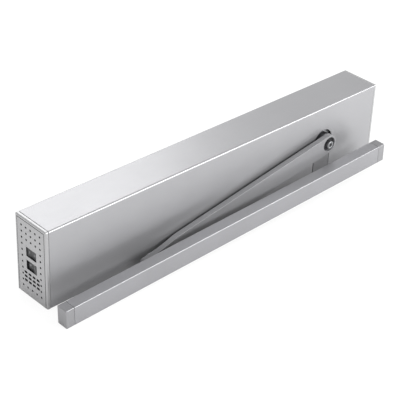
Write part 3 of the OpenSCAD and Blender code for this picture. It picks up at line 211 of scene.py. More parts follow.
coverLook = {
    "dark": "#8A8A8C", "light": "#909092", "roughness": 0.36, "roughSpread": 0.03, "metallic": 0.6,
    "lineSpacing": 0.6, "stretch": (0.03, 1, 1), "cloud": 60, "bump": 0.05,
}
materials = {
    # hood: even satin silver, with faint lines along its length
    "coverAluminium": drawnAluminium("anodisedExtrudedAluminium", coverLook),
    # case ends: a shade lighter, and the grain has no direction
    "endCapAluminium": drawnAluminium("anodisedCastCap", {
        **coverLook, "dark": "#929293", "light": "#9A9A9B", "lineSpacing": 0.4,
        "stretch": (1, 1, 1)}),
    # end plate: duller, with upright rolling lines
    "plateAluminium": drawnAluminium("anodisedPunchedSheet", {
        **coverLook, "dark": "#929293", "light": "#9A9A9B", "roughness": 0.5,
        "stretch": (1, 1, 0.03)}),
    # walls of the punched holes and of the plate's outline: torn metal, painted near black as a
    # shade that deepens the holes
    "holeWallPaintedShade": castMetal("darkHoleWallPaintedShade", {
        "dark": "#3A3A3C", "light": "#4A4A4C", "roughness": 0.7, "grit": 0.2, "blotch": 3,
        "bump": 0.4}),
    # lever: silver lacquer, greyer and less like a mirror than the hood
    "leverAluminium": drawnAluminium("silverLacqueredForging", {
        **coverLook, "dark": "#747476", "light": "#7C7C7E", "metallic": 0.2, "lineSpacing": 0.5,
        "stretch": (0.1, 1, 1)}),
    # rail: as the hood, a shade darker
    "channelAluminium": drawnAluminium("anodisedExtrudedRail", {
        **coverLook, "dark": "#808082", "light": "#87878A"}),
    # the rail's caps: darker again, with no draw direction
    "channelCapAluminium": drawnAluminium("anodisedRailCap", {
        **coverLook, "dark": "#7B7B7D", "light": "#838385", "lineSpacing": 0.4,
        "stretch": (1, 1, 1)}),
    # plate below the hub: upright lines, more like a mirror than the hood, a little darker of its
    # own and darker again as painted shade under the lever
    "insertAluminiumPaintedShade": drawnAluminium("anodisedInsertPaintedShade", {
        **coverLook, "dark": "#747476", "light": "#7C7C7E", "metallic": 0.8,
        "stretch": (1, 1, 0.05)}),
    # gear case and spring tube: dull grey with a coarse pebble
    "castAluminium": castMetal("dieCastAluminium", {
        "dark": "#8C8D8F", "light": "#A2A3A5", "roughness": 0.55, "grit": 0.5, "blotch": 20,
        "bump": 0.3}),
    # base plate and brackets: bright and a little blue
    "zincSteel": turnedMetal("brightZincSteel", {
        "dark": "#A8ABB0", "light": "#BDC0C4", "roughness": 0.3, "toolMark": 0.4, "stain": 8,
        "across": "Y"}),
    # bolt: a pale soft ring round its dark socket
    "boltSteel": turnedMetal("polishedBoltSteel", {
        "dark": "#88898B", "light": "#98999B", "roughness": 0.5, "toolMark": 0.3, "stain": 4,
        "across": "Y"}),
    # washer in the recess: nearly black, darker than the bolt and lever round it
    "washerSteel": turnedMetal("darkWasherSteel", {
        "dark": "#38383B", "light": "#444447", "roughness": 0.5, "toolMark": 0.3, "stain": 4,
        "across": "Y"}),
    # screws and motor: black with a soft shine
    "blackSteel": turnedMetal("blackOxideSteel", {
        "dark": "#151517", "light": "#232326", "roughness": 0.4, "toolMark": 0.3, "stain": 4,
        "across": "Y"}),
    # hub behind the lever: ringed by the tool, and a darker grey than bare steel, a painted shade
    # for the gap behind the lever
    "hubSteelPaintedShade": turnedMetal("turnedHubPaintedShade", {
        "dark": "#707073", "light": "#7C7C7F", "roughness": 0.4, "toolMark": 0.3, "stain": 6,
        "across": "Y"}),
    # gears and cam: grey with a dry shine
    "gearSteel": turnedMetal("hobbedGearSteel", {
        "dark": "#7B7D80", "light": "#8F9194", "roughness": 0.34, "toolMark": 0.3, "stain": 6,
        "across": "Y"}),
    # shafts and pins: bright, with narrow highlights
    "groundSteel": turnedMetal("groundShaftSteel", {
        "dark": "#A4A7AA", "light": "#B6B8BB", "roughness": 0.2, "toolMark": 0.15, "stain": 10,
        "across": "X"}),
    # closing spring: dark blue-grey
    "springSteel": turnedMetal("oilTemperedWire", {
        "dark": "#3C3E42", "light": "#55575B", "roughness": 0.35, "toolMark": 0.5, "stain": 5,
        "across": "DIAGONAL"}),
    # motor pinion and spring adjuster: warm yellow between the greys
    "brass": turnedMetal("turnedBrass", {
        "dark": "#B08E45", "light": "#C6A65C", "roughness": 0.28, "toolMark": 0.25, "stain": 6,
        "across": "Y"}),
    # rotor: red-brown bands
    "copper": copperWinding("enamelledCopper", {
        "dark": "#7A3E1F", "light": "#B9683A", "roughness": 0.35, "wire": 0.5}),
    # rockers: near black with a fine grain
    "rockerPlastic": mouldedPlastic("darkRockerAbs", {
        "dark": "#1C1D1E", "light": "#242527", "roughness": 0.5, "ior": 1.5, "grain": 0.25,
        "bump": 0.15}),
    # switch bodies and components: flat black
    "switchPlastic": mouldedPlastic("blackSwitchNylon", {
        "dark": "#101011", "light": "#18181A", "roughness": 0.5, "ior": 1.53, "grain": 0.4,
        "bump": 0.2}),
    # slide block and board carrier: black with a waxy shine
    "acetal": mouldedPlastic("blackAcetal", {
        "dark": "#1B1B1C", "light": "#242425", "roughness": 0.35, "ior": 1.48, "grain": 0.4,
        "bump": 0.1}),
    # marks on the rockers: a dull pale grey print
    "markPaint": mouldedPlastic("paleMarkInk", {
        "dark": "#727375", "light": "#7C7D7F", "roughness": 0.5, "ior": 1.5, "grain": 0.3,
        "bump": 0.05}),
    # mat behind the holes: near black, a painted shade that makes the holes look dark inside
    "ventMatPaintedShade": mouldedPlastic("blackBehindHolesPaintedShade", {
        "dark": "#0A0A0A", "light": "#141414", "roughness": 0.95, "ior": 1.45, "grain": 0.9,
        "bump": 0.8}),
    # buffers: matt black
    "rubber": mouldedPlastic("blackNitrileRubber", {
        "dark": "#0E0E0E", "light": "#161616", "roughness": 0.75, "ior": 1.52, "grain": 0.6,
        "bump": 0.3}),
    # boards: green, with a glassy lacquer
    "laminate": laminateBoard("greenBoardLaminate", {
        "dark": "#0E4A2A", "light": "#13572F", "roughness": 0.3, "ior": 1.55, "weave": 0.6}),
}
print("materials made:", len(materials))

# finish of each node that keeps its own mesh
nodeFinish = {
    "castAluminium": ["drive_housing_front", "drive_housing_back", "tube_saddle", "spring_tube"],
    "zincSteel": ["base_plate", "channel_brackets", "drive_foot_screws", "power_supply"],
    "blackSteel": ["housing_screws", "motor_can"],
    "gearSteel": ["output_gear", "cam_disc", "idler_gear", "cam_roller"],
    "groundSteel": ["output_spindle", "spindle_bearings", "idler_pin", "motor_shaft",
                    "spring_piston", "roller_pin"],
    "brass": ["motor_pinion", "spring_adjuster"],
    "copper": ["motor_rotor"],
    "switchPlastic": ["switch_bodies", "board_components"],
    "acetal": ["slide_block", "board_carrier"],
    # the vent mat is painted near black as shade behind the holes
    "ventMatPaintedShade": ["vent_mat"],
    "rubber": ["channel_buffers"],
    "laminate": ["control_board", "terminal_strip"],
}
for finish, nodeNames in nodeFinish.items():
    for nodeName in nodeNames:
        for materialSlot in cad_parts[nodeName].material_slots:
            materialSlot.link = "OBJECT"
            materialSlot.material = materials[finish]
print("finishes put on the inner pieces")


def newObject(name, data):
    thing = bpy.data.objects.new(name, data)
    bpy.context.scene.collection.objects.link(thing)
    return thing


def meshFrom(work, name):
    mesh = bpy.data.meshes.new(name)
    work.to_mesh(mesh)
    work.free()
    return mesh


def meshObject(name, mesh, material):
    mesh.materials.append(material)
    return newObject(name, mesh)


def applied(piece):
    # the piece with its modifiers made into plain mesh
    bpy.context.view_layer.update()
    graph = bpy.context.evaluated_depsgraph_get()
    mesh = bpy.data.meshes.new_from_object(
        piece.evaluated_get(graph), preserve_all_data_layers=True, depsgraph=graph)
    piece.modifiers.clear()
    old = piece.data
    piece.data = mesh
    bpy.data.meshes.remove(old)
    return piece


def smoothFaces(piece, angle=35):
    piece.data.shade_smooth()
    piece.data.set_sharp_from_angle(angle=math.radians(angle))


def roundEdges(piece, radius, segments=3, angle=30):
    # breaks the sharp edges by radius, in millimetres, so that they catch the light
    bevel = piece.modifiers.new("brokenEdges", "BEVEL")
    bevel.width = radius * mm
    bevel.segments = segments
    bevel.limit_method = "ANGLE"
    bevel.angle_limit = math.radians(angle)
    bevel.miter_outer = "MITER_ARC"
    bevel.use_clamp_overlap = True
    smoothFaces(piece)
    weights = piece.modifiers.new("flatFaces", "WEIGHTED_NORMAL")
    weights.keep_sharp = True
    return applied(piece)


solidWeld = {"distance": 0.002, "flatAngle": 0.4}   # mm and degrees
seamGap = {"cover": 0.4}   # mm


def solidCopy(nodeName):
    # the node's surface as one welded mesh with its flat faces whole
    work = bmesh.new()
    work.from_mesh(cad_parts[nodeName].data)
    bmesh.ops.remove_doubles(work, verts=work.verts, dist=solidWeld["distance"] * mm)
    bmesh.ops.dissolve_limit(work, angle_limit=math.radians(solidWeld["flatAngle"]),
                             verts=work.verts, edges=work.edges)
    return meshFrom(work, nodeName + "Shape")


def openSeam(mesh, gap):
    # draws the -X end back a little, so that its seam shows as a dark line
    endTo = min(v.co.x for v in mesh.vertices) + 0.01 * mm
    for vertex in mesh.vertices:
        if vertex.co.x < endTo:
            vertex.co.x += gap * mm


def dressNode(name, nodeName, body, finish, slotName, radius):
    # the node's own shape with broken edges
    piece = meshObject(name, solidCopy(nodeName), materials[finish])
    if nodeName in seamGap:
        openSeam(piece.data, seamGap[nodeName])
    roundEdges(piece, radius)
    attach(piece, body)
    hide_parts(nodeName)


dressed = [
    # piece, node, body, finish, slot, edge radius in mm
    ("coverShell", "cover", "operator", "coverAluminium", "anodised_aluminium", 0.6),
    ("leftEndRim", "left_end_frame", "operator", "endCapAluminium", "end_cap_aluminium", 0.6),
    ("rightEndShell", "right_end_cap", "operator", "endCapAluminium", "end_cap_aluminium", 0.35),
    # the insert's darker tone is partly its own and partly painted shade under the lever
    ("openingInsert", "spindle_opening_insert", "operator", "insertAluminiumPaintedShade",
     "anodised_aluminium", 0.3),
    ("openingBlank", "spindle_opening_blank", "operator", "coverAluminium",
     "anodised_aluminium", 0.3),
    # the hub's darker grey is a painted shade for the gap behind the lever
    ("spindleHub", "spindle_extension", "spindle", "hubSteelPaintedShade", "lever_metal", 0.4),
    ("leverBar", "lever", "spindle", "leverAluminium", "lever_metal", 1.0),
    ("leverWasherRing", "lever_washer", "spindle", "washerSteel", "black_steel", 0.3),
    ("slidePinTurned", "slide_pin", "block", "groundSteel", "ground_steel", 0.4),
    ("channelRail", "slide_channel", "channel", "channelAluminium", "anodised_aluminium", 0.3),
    ("channelCaps", "channel_end_caps", "channel", "channelCapAluminium", "end_cap_aluminium", 0.3),
]
for row in dressed:
    dressNode(*row)
print("edges broken on", len(dressed), "pieces")


def newTree(name, inputs):
    # a geometry tree, its group input and the identifiers of its named inputs
    tree = bpy.data.node_groups.new(name, "GeometryNodeTree")
    tree.interface.new_socket(name="Geometry", in_out="OUTPUT", socket_type="NodeSocketGeometry")
    kinds = {int: "NodeSocketInt", float: "NodeSocketFloat",
             bpy.types.Material: "NodeSocketMaterial"}
    identifiers = {}
    for label, value in inputs.items():
        socket = tree.interface.new_socket(
            name=label, in_out="INPUT", socket_type=kinds[type(value)])
        identifiers[label] = socket.identifier
    return tree, addNode(tree, "NodeGroupInput"), identifiers


def closeTree(tree, geometry, material, part=None, partMaterial=None):
    # one material for all, and a second for the faces that part selects
    real = addNode(tree, "GeometryNodeRealizeInstances", {"Geometry": geometry})
    painted = addNode(tree, "GeometryNodeSetMaterial", {
        "Geometry": real.outputs[0], "Material": material})
    if part is not None:
        painted = addNode(tree, "GeometryNodeSetMaterial", {
            "Geometry": painted.outputs[0], "Selection": part, "Material": partMaterial})
    addNode(tree, "NodeGroupOutput", {"Geometry": painted.outputs[0]})


def grownPiece(name, tree, identifiers, inputs):
    # a plain mesh from a geometry tree with these inputs
    piece = newObject(name, bpy.data.meshes.new(name))
    modifier = piece.modifiers.new(tree.name, "NODES")
    modifier.node_group = tree
    for label, value in inputs.items():
        modifier[identifiers[label]] = value
    return applied(piece)


# the punched end plate; Z sizes are heights above the wall
endPlate = {
    "holeDiameter": 3.4, "holePitchY": 10.5, "holePitchZ": 10.25, "holeZ": 13.5,
    "columns": 5, "rows": 11, "fullRows": 3, "holeSides": 24,
    "slotLength": 7.0, "slotHeight": 3.8, "slotPitchY": 9.4, "slotPitchZ": 7.0, "slotZ": 32.0,
    "slotColumns": 4, "slotRows": 3, "slotRound": 1.7,
    "windowWidth": 23.0, "windowHeight": 15.5, "windowRound": 0.8,
    "powerZ": 54.0, "programZ": 76.0,
    "cornerSteps": 6, "edge": 0.1, "gap": 0.5, "weld": 0.001,
}


def perforatedPlate():
    # outline, round holes, slots and windows, filled as one flat shape and then made thick
    low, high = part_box("perforated_end_plate")
    p = endPlate
    inputs = {
        "Plate Width": high.y - low.y - 2 * p["gap"] * mm,
        "Plate Height": high.z - low.z - p["gap"] * mm,
        "Plate Thickness": high.x - low.x, "Plate X": low.x,
        "Hole Radius": p["holeDiameter"] / 2 * mm, "Hole Pitch Y": p["holePitchY"] * mm,
        "Hole Pitch Z": p["holePitchZ"] * mm, "Hole Z": p["holeZ"] * mm,
        "Columns": p["columns"], "Rows": p["rows"], "Full Rows": p["fullRows"],
        "Slot Length": p["slotLength"] * mm, "Slot Height": p["slotHeight"] * mm,
        "Slot Pitch Y": p["slotPitchY"] * mm, "Slot Pitch Z": p["slotPitchZ"] * mm,
        "Slot Columns": p["slotColumns"], "Slot Rows": p["slotRows"],
        "Slot Z": p["slotZ"] * mm, "Slot Round": p["slotRound"] * mm,
        "Window Width": p["windowWidth"] * mm, "Window Height": p["windowHeight"] * mm,
        "Window Round": p["windowRound"] * mm,
        "Power Z": p["powerZ"] * mm, "Program Z": p["programZ"] * mm,
        "Material": materials["plateAluminium"], "Edge Shade Material": materials["holeWallPaintedShade"],
    }
    tree, group, identifiers = newTree("PunchedPlate", inputs)
    given = {label: group.outputs[label] for label in inputs}
    spot = addNode(tree, "GeometryNodeInputPosition")
    parts = addNode(tree, "ShaderNodeSeparateXYZ", {"Vector": spot.outputs[0]})
    given["x"], given["y"] = parts.outputs["X"], parts.outputs["Y"]

    # the plate's sums, one Math node each; a hole is kept in an outer column, the bottom row or
    # one of the full rows at the top
    sums = {
        "plateMiddle": ("DIVIDE", "Plate Height", 2.0),
        "columnSteps": ("SUBTRACT", "Columns", 1.0),
        "columnSpan": ("MULTIPLY", "columnSteps", "Hole Pitch Y"),
        "rowSteps": ("SUBTRACT", "Rows", 1.0),
        "rowSpan": ("MULTIPLY", "rowSteps", "Hole Pitch Z"),
        "halfColumns": ("DIVIDE", "columnSpan", 2.0),
        "halfRows": ("DIVIDE", "rowSpan", 2.0),
        "halfPitchY": ("DIVIDE", "Hole Pitch Y", 2.0),
        "halfPitchZ": ("DIVIDE", "Hole Pitch Z", 2.0),
        "sideFrom": ("SUBTRACT", "halfColumns", "halfPitchY"),
        "fromMiddle": ("ABSOLUTE", "x", 0.0),
        "side": ("GREATER_THAN", "fromMiddle", "sideFrom"),
        "bottomTo": ("SUBTRACT", "halfPitchZ", "halfRows"),
        "bottom": ("LESS_THAN", "y", "bottomTo"),
        "topSteps": ("SUBTRACT", "Full Rows", 0.5),
        "topDepth": ("MULTIPLY", "topSteps", "Hole Pitch Z"),
        "topFrom": ("SUBTRACT", "halfRows", "topDepth"),
        "top": ("GREATER_THAN", "y", "topFrom"),
        "sideOrBottom": ("ADD", "side", "bottom"),
        "reasons": ("ADD", "sideOrBottom", "top"),
        "kept": ("GREATER_THAN", "reasons", 0.5),
        "holeMiddle": ("ADD", "Hole Z", "halfRows"),
        "slotColumnSteps": ("SUBTRACT", "Slot Columns", 1.0),
        "slotSpanY": ("MULTIPLY", "Slot Pitch Y", "slotColumnSteps"),
        "slotRowSteps": ("SUBTRACT", "Slot Rows", 1.0),
        "slotSpanZ": ("MULTIPLY", "Slot Pitch Z", "slotRowSteps"),
    }
    for label, (operation, a, b) in sums.items():
        given[label] = addNode(tree, "ShaderNodeMath", {0: given[a], 1: given.get(b, b)},
                               operation=operation).outputs[0]

    def lifted(geometry, z):
        # flat outlines at their height above the wall, which is local y for now
        place = addNode(tree, "ShaderNodeCombineXYZ", {"Y": z})
        moved = addNode(tree, "GeometryNodeTransform", {
            "Geometry": geometry, "Translation": place.outputs[0]})
        return moved.outputs[0]

    def roundedRect(width, height, radius):
        outline = addNode(tree, "GeometryNodeCurvePrimitiveQuadrilateral", {
            "Width": width, "Height": height})
        rounded = addNode(tree, "GeometryNodeFilletCurve", {
            "Curve": outline.outputs[0], "Count": p["cornerSteps"], "Radius": radius,
            "Limit Radius": True}, mode="POLY")
        return rounded.outputs[0]

    outer = addNode(tree, "GeometryNodeCurvePrimitiveQuadrilateral", {
        "Width": given["Plate Width"], "Height": given["Plate Height"]})
    grid = addNode(tree, "GeometryNodeMeshGrid", {
        "Size X": given["columnSpan"], "Size Y": given["rowSpan"],
        "Vertices X": given["Columns"], "Vertices Y": given["Rows"]})
    hole = addNode(tree, "GeometryNodeCurvePrimitiveCircle", {
        "Resolution": p["holeSides"], "Radius": given["Hole Radius"]})
    holes = addNode(tree, "GeometryNodeInstanceOnPoints", {
        "Points": grid.outputs["Mesh"], "Selection": given["kept"], "Instance": hole.outputs[0]})
    slotGrid = addNode(tree, "GeometryNodeMeshGrid", {
        "Size X": given["slotSpanY"], "Size Y": given["slotSpanZ"],
        "Vertices X": given["Slot Columns"], "Vertices Y": given["Slot Rows"]})
    slot = roundedRect(given["Slot Length"], given["Slot Height"], given["Slot Round"])
    slots = addNode(tree, "GeometryNodeInstanceOnPoints", {
        "Points": slotGrid.outputs["Mesh"], "Instance": slot})
    window = roundedRect(given["Window Width"], given["Window Height"], given["Window Round"])

    outlines = addNode(tree, "GeometryNodeJoinGeometry")
    for geometry, height in ((outer.outputs[0], "plateMiddle"), (holes.outputs[0], "holeMiddle"),
                             (slots.outputs[0], "Slot Z"), (window, "Power Z"),
                             (window, "Program Z")):
        tree.links.new(lifted(geometry, given[height]), outlines.inputs[0])
    flat = addNode(tree, "GeometryNodeRealizeInstances", {"Geometry": outlines.outputs[0]})
    face = addNode(tree, "GeometryNodeFillCurve", {"Curve": flat.outputs[0]}, mode="NGONS")
    depth = addNode(tree, "ShaderNodeCombineXYZ", {"Z": given["Plate Thickness"]})
    walls = addNode(tree, "GeometryNodeExtrudeMesh", {
        "Mesh": face.outputs[0], "Offset": depth.outputs[0], "Offset Scale": 1.0,
        "Individual": False})
    back = addNode(tree, "GeometryNodeFlipFaces", {"Mesh": face.outputs[0]})
    shell = addNode(tree, "GeometryNodeJoinGeometry")
    for side in (walls.outputs["Mesh"], back.outputs[0]):
        tree.links.new(side, shell.inputs[0])
    welded = addNode(tree, "GeometryNodeMergeByDistance", {
        "Geometry": shell.outputs[0], "Distance": p["weld"] * mm})
    # local x, y, z become Y, Z, X of the operator
    seat = addNode(tree, "ShaderNodeCombineXYZ", {"X": given["Plate X"]})
    stood = addNode(tree, "GeometryNodeTransform", {
        "Geometry": welded.outputs[0], "Translation": seat.outputs[0],
        "Rotation": (math.pi / 2, 0.0, math.pi / 2)})
    # the side walls take the edge material, painted near black as shade inside the holes
    closeTree(tree, stood.outputs[0], given["Material"], walls.outputs["Side"],
              given["Edge Shade Material"])
    plate = grownPiece("punchedEndPlate", tree, identifiers, inputs)
    roundEdges(plate, p["edge"], segments=2)
    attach(plate, "operator")
    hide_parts("perforated_end_plate")


perforatedPlate()
print("end plate punched")


# the two rockers, made level and then turned to their place at rest; sizes in mm and degrees
rocker = {
    "width": 21.4, "height": 14.9, "endDepth": 3.2, "valley": 1.2, "backDepth": 3.0,
    "backInset": 0.4, "faceSteps": 24, "backSteps": 12, "edge": 0.5, "pivotX": -337.7,
    "tilt": {"power": -8.0, "program": 0.0},
    "pinRadius": 1.2, "pinSpan": 17.9, "pinEdge": 0.15, "pinSides": 32,
    "markRise": 0.12, "markSink": 0.05, "markStroke": 0.9, "markHeight": 4.0, "markSpot": 5.6,
    "barShift": 0.9, "ringSides": 24,
}


def rockerFace(y):
    # depth of the pressed face behind the pivot line: two curved dishes that meet in a valley
    share = abs(y) / (rocker["width"] / 2)
    return -rocker["endDepth"] + rocker["valley"] * (math.cos(share * math.pi) + 1) / 2


def rockerMesh(name):
    # a loft of the side outline across the rocker's height
    half = rocker["width"] / 2
    across = [-half + i * rocker["width"] / rocker["faceSteps"]
              for i in range(rocker["faceSteps"] + 1)]
    turns = [math.pi / 2 - math.pi * i / rocker["backSteps"]
             for i in range(rocker["backSteps"] + 1)]
    outline = [(rockerFace(y), y) for y in across]
    outline += [(rocker["backDepth"] * math.cos(a), (half - rocker["backInset"]) * math.sin(a))
                for a in turns]
    work = bmesh.new()
    low, high = ([work.verts.new((x * mm, y * mm, z * mm)) for x, y in outline]
                 for z in (-rocker["height"] / 2, rocker["height"] / 2))
    for i in range(len(outline)):
        j = (i + 1) % len(outline)
        work.faces.new((low[i], low[j], high[j], high[i]))
    work.faces.new(low)
    work.faces.new(list(reversed(high)))
    bmesh.ops.recalc_face_normals(work, faces=work.faces)
    return meshFrom(work, name)


def finishRocker(which, z, nodeName, body):
    turn = Matrix.Rotation(math.radians(rocker["tilt"][which]), 4, "Z")
    place = Matrix.Translation((rocker["pivotX"] * mm, 0, z * mm)) @ turn
    paddle = meshObject(which + "RockerPaddle", rockerMesh(which + "Rocker"),
                        materials["rockerPlastic"])
    roundEdges(paddle, rocker["edge"], angle=50)
    paddle.data.transform(place)
    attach(paddle, body)
    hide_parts(nodeName)

    work = bmesh.new()
    bmesh.ops.create_cone(work, cap_ends=True, segments=rocker["pinSides"],
                          radius1=rocker["pinRadius"] * mm, radius2=rocker["pinRadius"] * mm,
                          depth=rocker["pinSpan"] * mm)
    pin = meshObject(which + "RockerPin", meshFrom(work, which + "Pin"),
                     materials["rockerPlastic"])
    roundEdges(pin, rocker["pinEdge"], segments=2)
    pin.data.transform(place)
    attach(pin, body)
    return place


def markMesh(shapes):
    # raised marks that follow the rocker's face: a bar, or a ring round a centre
    stroke, sides = rocker["markStroke"], rocker["ringSides"]
    corners = ((-1, -1), (1, -1), (1, 1), (-1, 1))
    ring = [(math.cos(2 * math.pi * i / sides), math.sin(2 * math.pi * i / sides))
            for i in range(sides)]
    work = bmesh.new()
    for kind, y0, z0, size in shapes:
        if kind == "bar":
            loops = [[(y0 + c * stroke / 2, z0 + s * size / 2) for c, s in corners]]
        else:
            loops = [[(y0 + c * radius, z0 + s * radius) for c, s in ring]
                     for radius in (size / 2, size / 2 - stroke)]
        layers = [[[work.verts.new(((rockerFace(y) + depth) * mm, y * mm, z * mm))
                    for y, z in loop] for loop in loops]
                  for depth in (rocker["markSink"], -rocker["markRise"])]
        for low, high in zip(*layers):
            for i in range(len(low)):
                j = (i + 1) % len(low)
                work.faces.new((low[i], low[j], high[j], high[i]))
        for layer in layers:
            if kind == "bar":
                work.faces.new(layer[0])
                continue
            outer, inner = layer
            for i in range(sides):
                j = (i + 1) % sides
                work.faces.new((outer[i], outer[j], inner[j], inner[i]))
    bmesh.ops.recalc_face_normals(work, faces=work.faces)
    return meshFrom(work, "marks")


def addMarks(name, shapes, place, body):
    marks = meshObject(name, markMesh(shapes), materials["markPaint"])
    marks.data.transform(place)
    smoothFaces(marks)
    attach(marks, body)


tall, spot, shift = rocker["markHeight"], rocker["markSpot"], rocker["barShift"]
programPlace = finishRocker("program", endPlate["programZ"], "program_rocker", "program_switch")
addMarks("programMarks", [("bar", spot, 0, tall), ("bar", -spot - shift, 0, tall),
                          ("bar", -spot + shift, 0, tall)], programPlace, "program_switch")
powerPlace = finishRocker("power", endPlate["powerZ"], "power_rocker", "power_switch")
addMarks("powerMarks", [("ring", spot, 0, tall), ("bar", -spot, 0, tall)],
         powerPlace, "power_switch")
print("rockers made")


# the lever's bolt, in mm: a turned head with a knurl, a hexagon socket and a shank
bolt = {
    "headRadius": 6.5, "headHeight": 6.5, "chamfer": 0.7, "seatChamfer": 0.2, "steps": 60,
    "shankRadius": 4.0, "shankLength": 26.0, "tipChamfer": 0.6,
    "socket": 6.0, "socketMouth": 0.5, "lipDepth": 0.25, "socketDepth": 4.0, "drillDepth": 0.8,
    "knurls": 40, "knurlDepth": 0.18, "knurlSides": 4,
}


def boltPiece():
    low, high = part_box("lever_bolt")
    centre = Vector(((low.x + high.x) / 2, 0, (low.z + high.z) / 2))
    b = bolt
    face = low.y / mm
    seat = face + b["headHeight"]
    end = seat + b["shankLength"]
    core = b["headRadius"] - b["knurlDepth"]
    profile = [
        (b["socket"] / math.sqrt(3) + b["socketMouth"], face), (core - b["chamfer"], face),
        (core, face + b["chamfer"]), (core, seat - b["seatChamfer"]),
        (core - b["seatChamfer"], seat), (b["shankRadius"], seat),
        (b["shankRadius"], end - b["tipChamfer"]), (b["shankRadius"] - b["tipChamfer"], end),
    ]
    steps = b["steps"]
    angles = [2 * math.pi * i / steps for i in range(steps)]
    work = bmesh.new()

    def ringAt(radii, y):
        return [work.verts.new((radius * math.cos(a) * mm, y * mm, radius * math.sin(a) * mm))
                for radius, a in zip(radii, angles)]

    def wallBetween(near, far):
        for i in range(steps):
            j = (i + 1) % steps
            work.faces.new((near[i], near[j], far[j], far[i]))

    def coneTo(ring, y):
        tip = work.verts.new((0, y * mm, 0))
        for i in range(steps):
            work.faces.new((ring[i], ring[(i + 1) % steps], tip))

    rings = [ringAt([radius] * steps, y) for radius, y in profile]
    for near, far in zip(rings, rings[1:]):
        wallBetween(near, far)
    coneTo(rings[-1], end)
    # hexagon socket: its rim blends into the face, then straight walls and a cone floor
    flats = [b["socket"] / 2 / math.cos(a % (math.pi / 3) - math.pi / 6) for a in angles]
    lip = ringAt(flats, face + b["lipDepth"])
    floor = ringAt(flats, face + b["socketDepth"])
    wallBetween(rings[0], lip)
    wallBetween(lip, floor)
    coneTo(floor, face + b["socketDepth"] + b["drillDepth"])
    bmesh.ops.recalc_face_normals(work, faces=work.faces)
    piece = meshObject("leverBoltTurned", meshFrom(work, "boltTurned"), materials["boltSteel"])
    smoothFaces(piece, angle=30)
    piece.data.transform(Matrix.Translation(centre))
    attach(piece, "spindle")
    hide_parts("lever_bolt")
    return centre, face, seat


def boltKnurl(centre, face, seat):
    # ridges round the head, one small wedge repeated
    b = bolt
    inputs = {
        "Ridges": b["knurls"], "Radius": (b["headRadius"] - b["knurlDepth"]) * mm,
        "Ridge Depth": b["knurlDepth"] * 2 * mm,
        "Ridge Length": (seat - face - 2 * b["chamfer"]) * mm,
        "Middle Y": (face + seat) / 2 * mm, "Centre X": centre.x, "Centre Z": centre.z,
        "Material": materials["boltSteel"],
    }
    tree, group, identifiers = newTree("HeadKnurl", inputs)
    given = group.outputs
    circle = addNode(tree, "GeometryNodeMeshCircle", {
        "Vertices": given["Ridges"], "Radius": given["Radius"]})
    wedge = addNode(tree, "GeometryNodeMeshCylinder", {
        "Vertices": b["knurlSides"], "Radius": given["Ridge Depth"],
        "Depth": given["Ridge Length"]})
    order = addNode(tree, "GeometryNodeInputIndex")
    step = addNode(tree, "ShaderNodeMath", {0: 2 * math.pi, 1: given["Ridges"]}, operation="DIVIDE")
    angle = addNode(tree, "ShaderNodeMath", {0: order.outputs[0], 1: step.outputs[0]},
                    operation="MULTIPLY")
    spin = addNode(tree, "ShaderNodeCombineXYZ", {"Z": angle.outputs[0]})
    ridges = addNode(tree, "GeometryNodeInstanceOnPoints", {
        "Points": circle.outputs[0], "Instance": wedge.outputs["Mesh"],
        "Rotation": spin.outputs[0]})
    middle = addNode(tree, "ShaderNodeCombineXYZ", {
        "X": given["Centre X"], "Y": given["Middle Y"], "Z": given["Centre Z"]})
    stood = addNode(tree, "GeometryNodeTransform", {
        "Geometry": ridges.outputs[0], "Translation": middle.outputs[0],
        "Rotation": (math.pi / 2, 0.0, 0.0)})
    closeTree(tree, stood.outputs[0], given["Material"])
    knurl = grownPiece("leverBoltKnurl", tree, identifiers, inputs)
    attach(knurl, "spindle")


boltKnurl(*boltPiece())
print("lever bolt turned")


# the closing spring, wound, in mm; the real spring shortens with the piston, the coil here keeps
# one length
spring = {"turns": 8.5, "stepsPerTurn": 40, "wireSides": 12, "wire": 6.4,
          "restLength": 86.0, "pressedLength": 65.8}


def closingSpring():
    low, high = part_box("closing_spring")
    wire = spring["wire"] / 2 * mm
    axisZ = (low.z + high.z) / 2
    inputs = {
        "Turns": spring["turns"], "Coil Radius": (high.z - low.z) / 2 - wire,
        "Length": high.x - low.x - 2 * wire, "Wire Radius": wire, "Start X": low.x + wire,
        "Axis Z": axisZ, "Material": materials["springSteel"],
    }
    tree, group, identifiers = newTree("WoundSpring", inputs)
    given = group.outputs
    helix = addNode(tree, "GeometryNodeCurveSpiral", {
        "Resolution": spring["stepsPerTurn"], "Rotations": given["Turns"],
        "Start Radius": given["Coil Radius"], "End Radius": given["Coil Radius"],
        "Height": given["Length"]})
    section = addNode(tree, "GeometryNodeCurvePrimitiveCircle", {
        "Resolution": spring["wireSides"], "Radius": given["Wire Radius"]})
    tube = addNode(tree, "GeometryNodeCurveToMesh", {
        "Curve": helix.outputs[0], "Profile Curve": section.outputs[0], "Fill Caps": True})
    start = addNode(tree, "ShaderNodeCombineXYZ", {"X": given["Start X"], "Z": given["Axis Z"]})
    stood = addNode(tree, "GeometryNodeTransform", {
        "Geometry": tube.outputs[0], "Translation": start.outputs[0],
        "Rotation": (0.0, math.pi / 2, 0.0)})
    closeTree(tree, stood.outputs[0], given["Material"])
    coil = grownPiece("closingSpringCoil", tree, identifiers, inputs)
    smoothFaces(coil, angle=50)
    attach(coil, "operator")
    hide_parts("closing_spring")
    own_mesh(coil)


closingSpring()
print("spring wound")


# floor in metres, its drop in mm, and how bright the floor and the world are
studio = {
    "floorSize": 14.0, "floorDrop": 0.15, "floorAlbedo": "#F4F4F4", "cameraWhite": 0.85,
    "backdrop": "#FFFFFF", "worldDiffuse": 1.35,
}
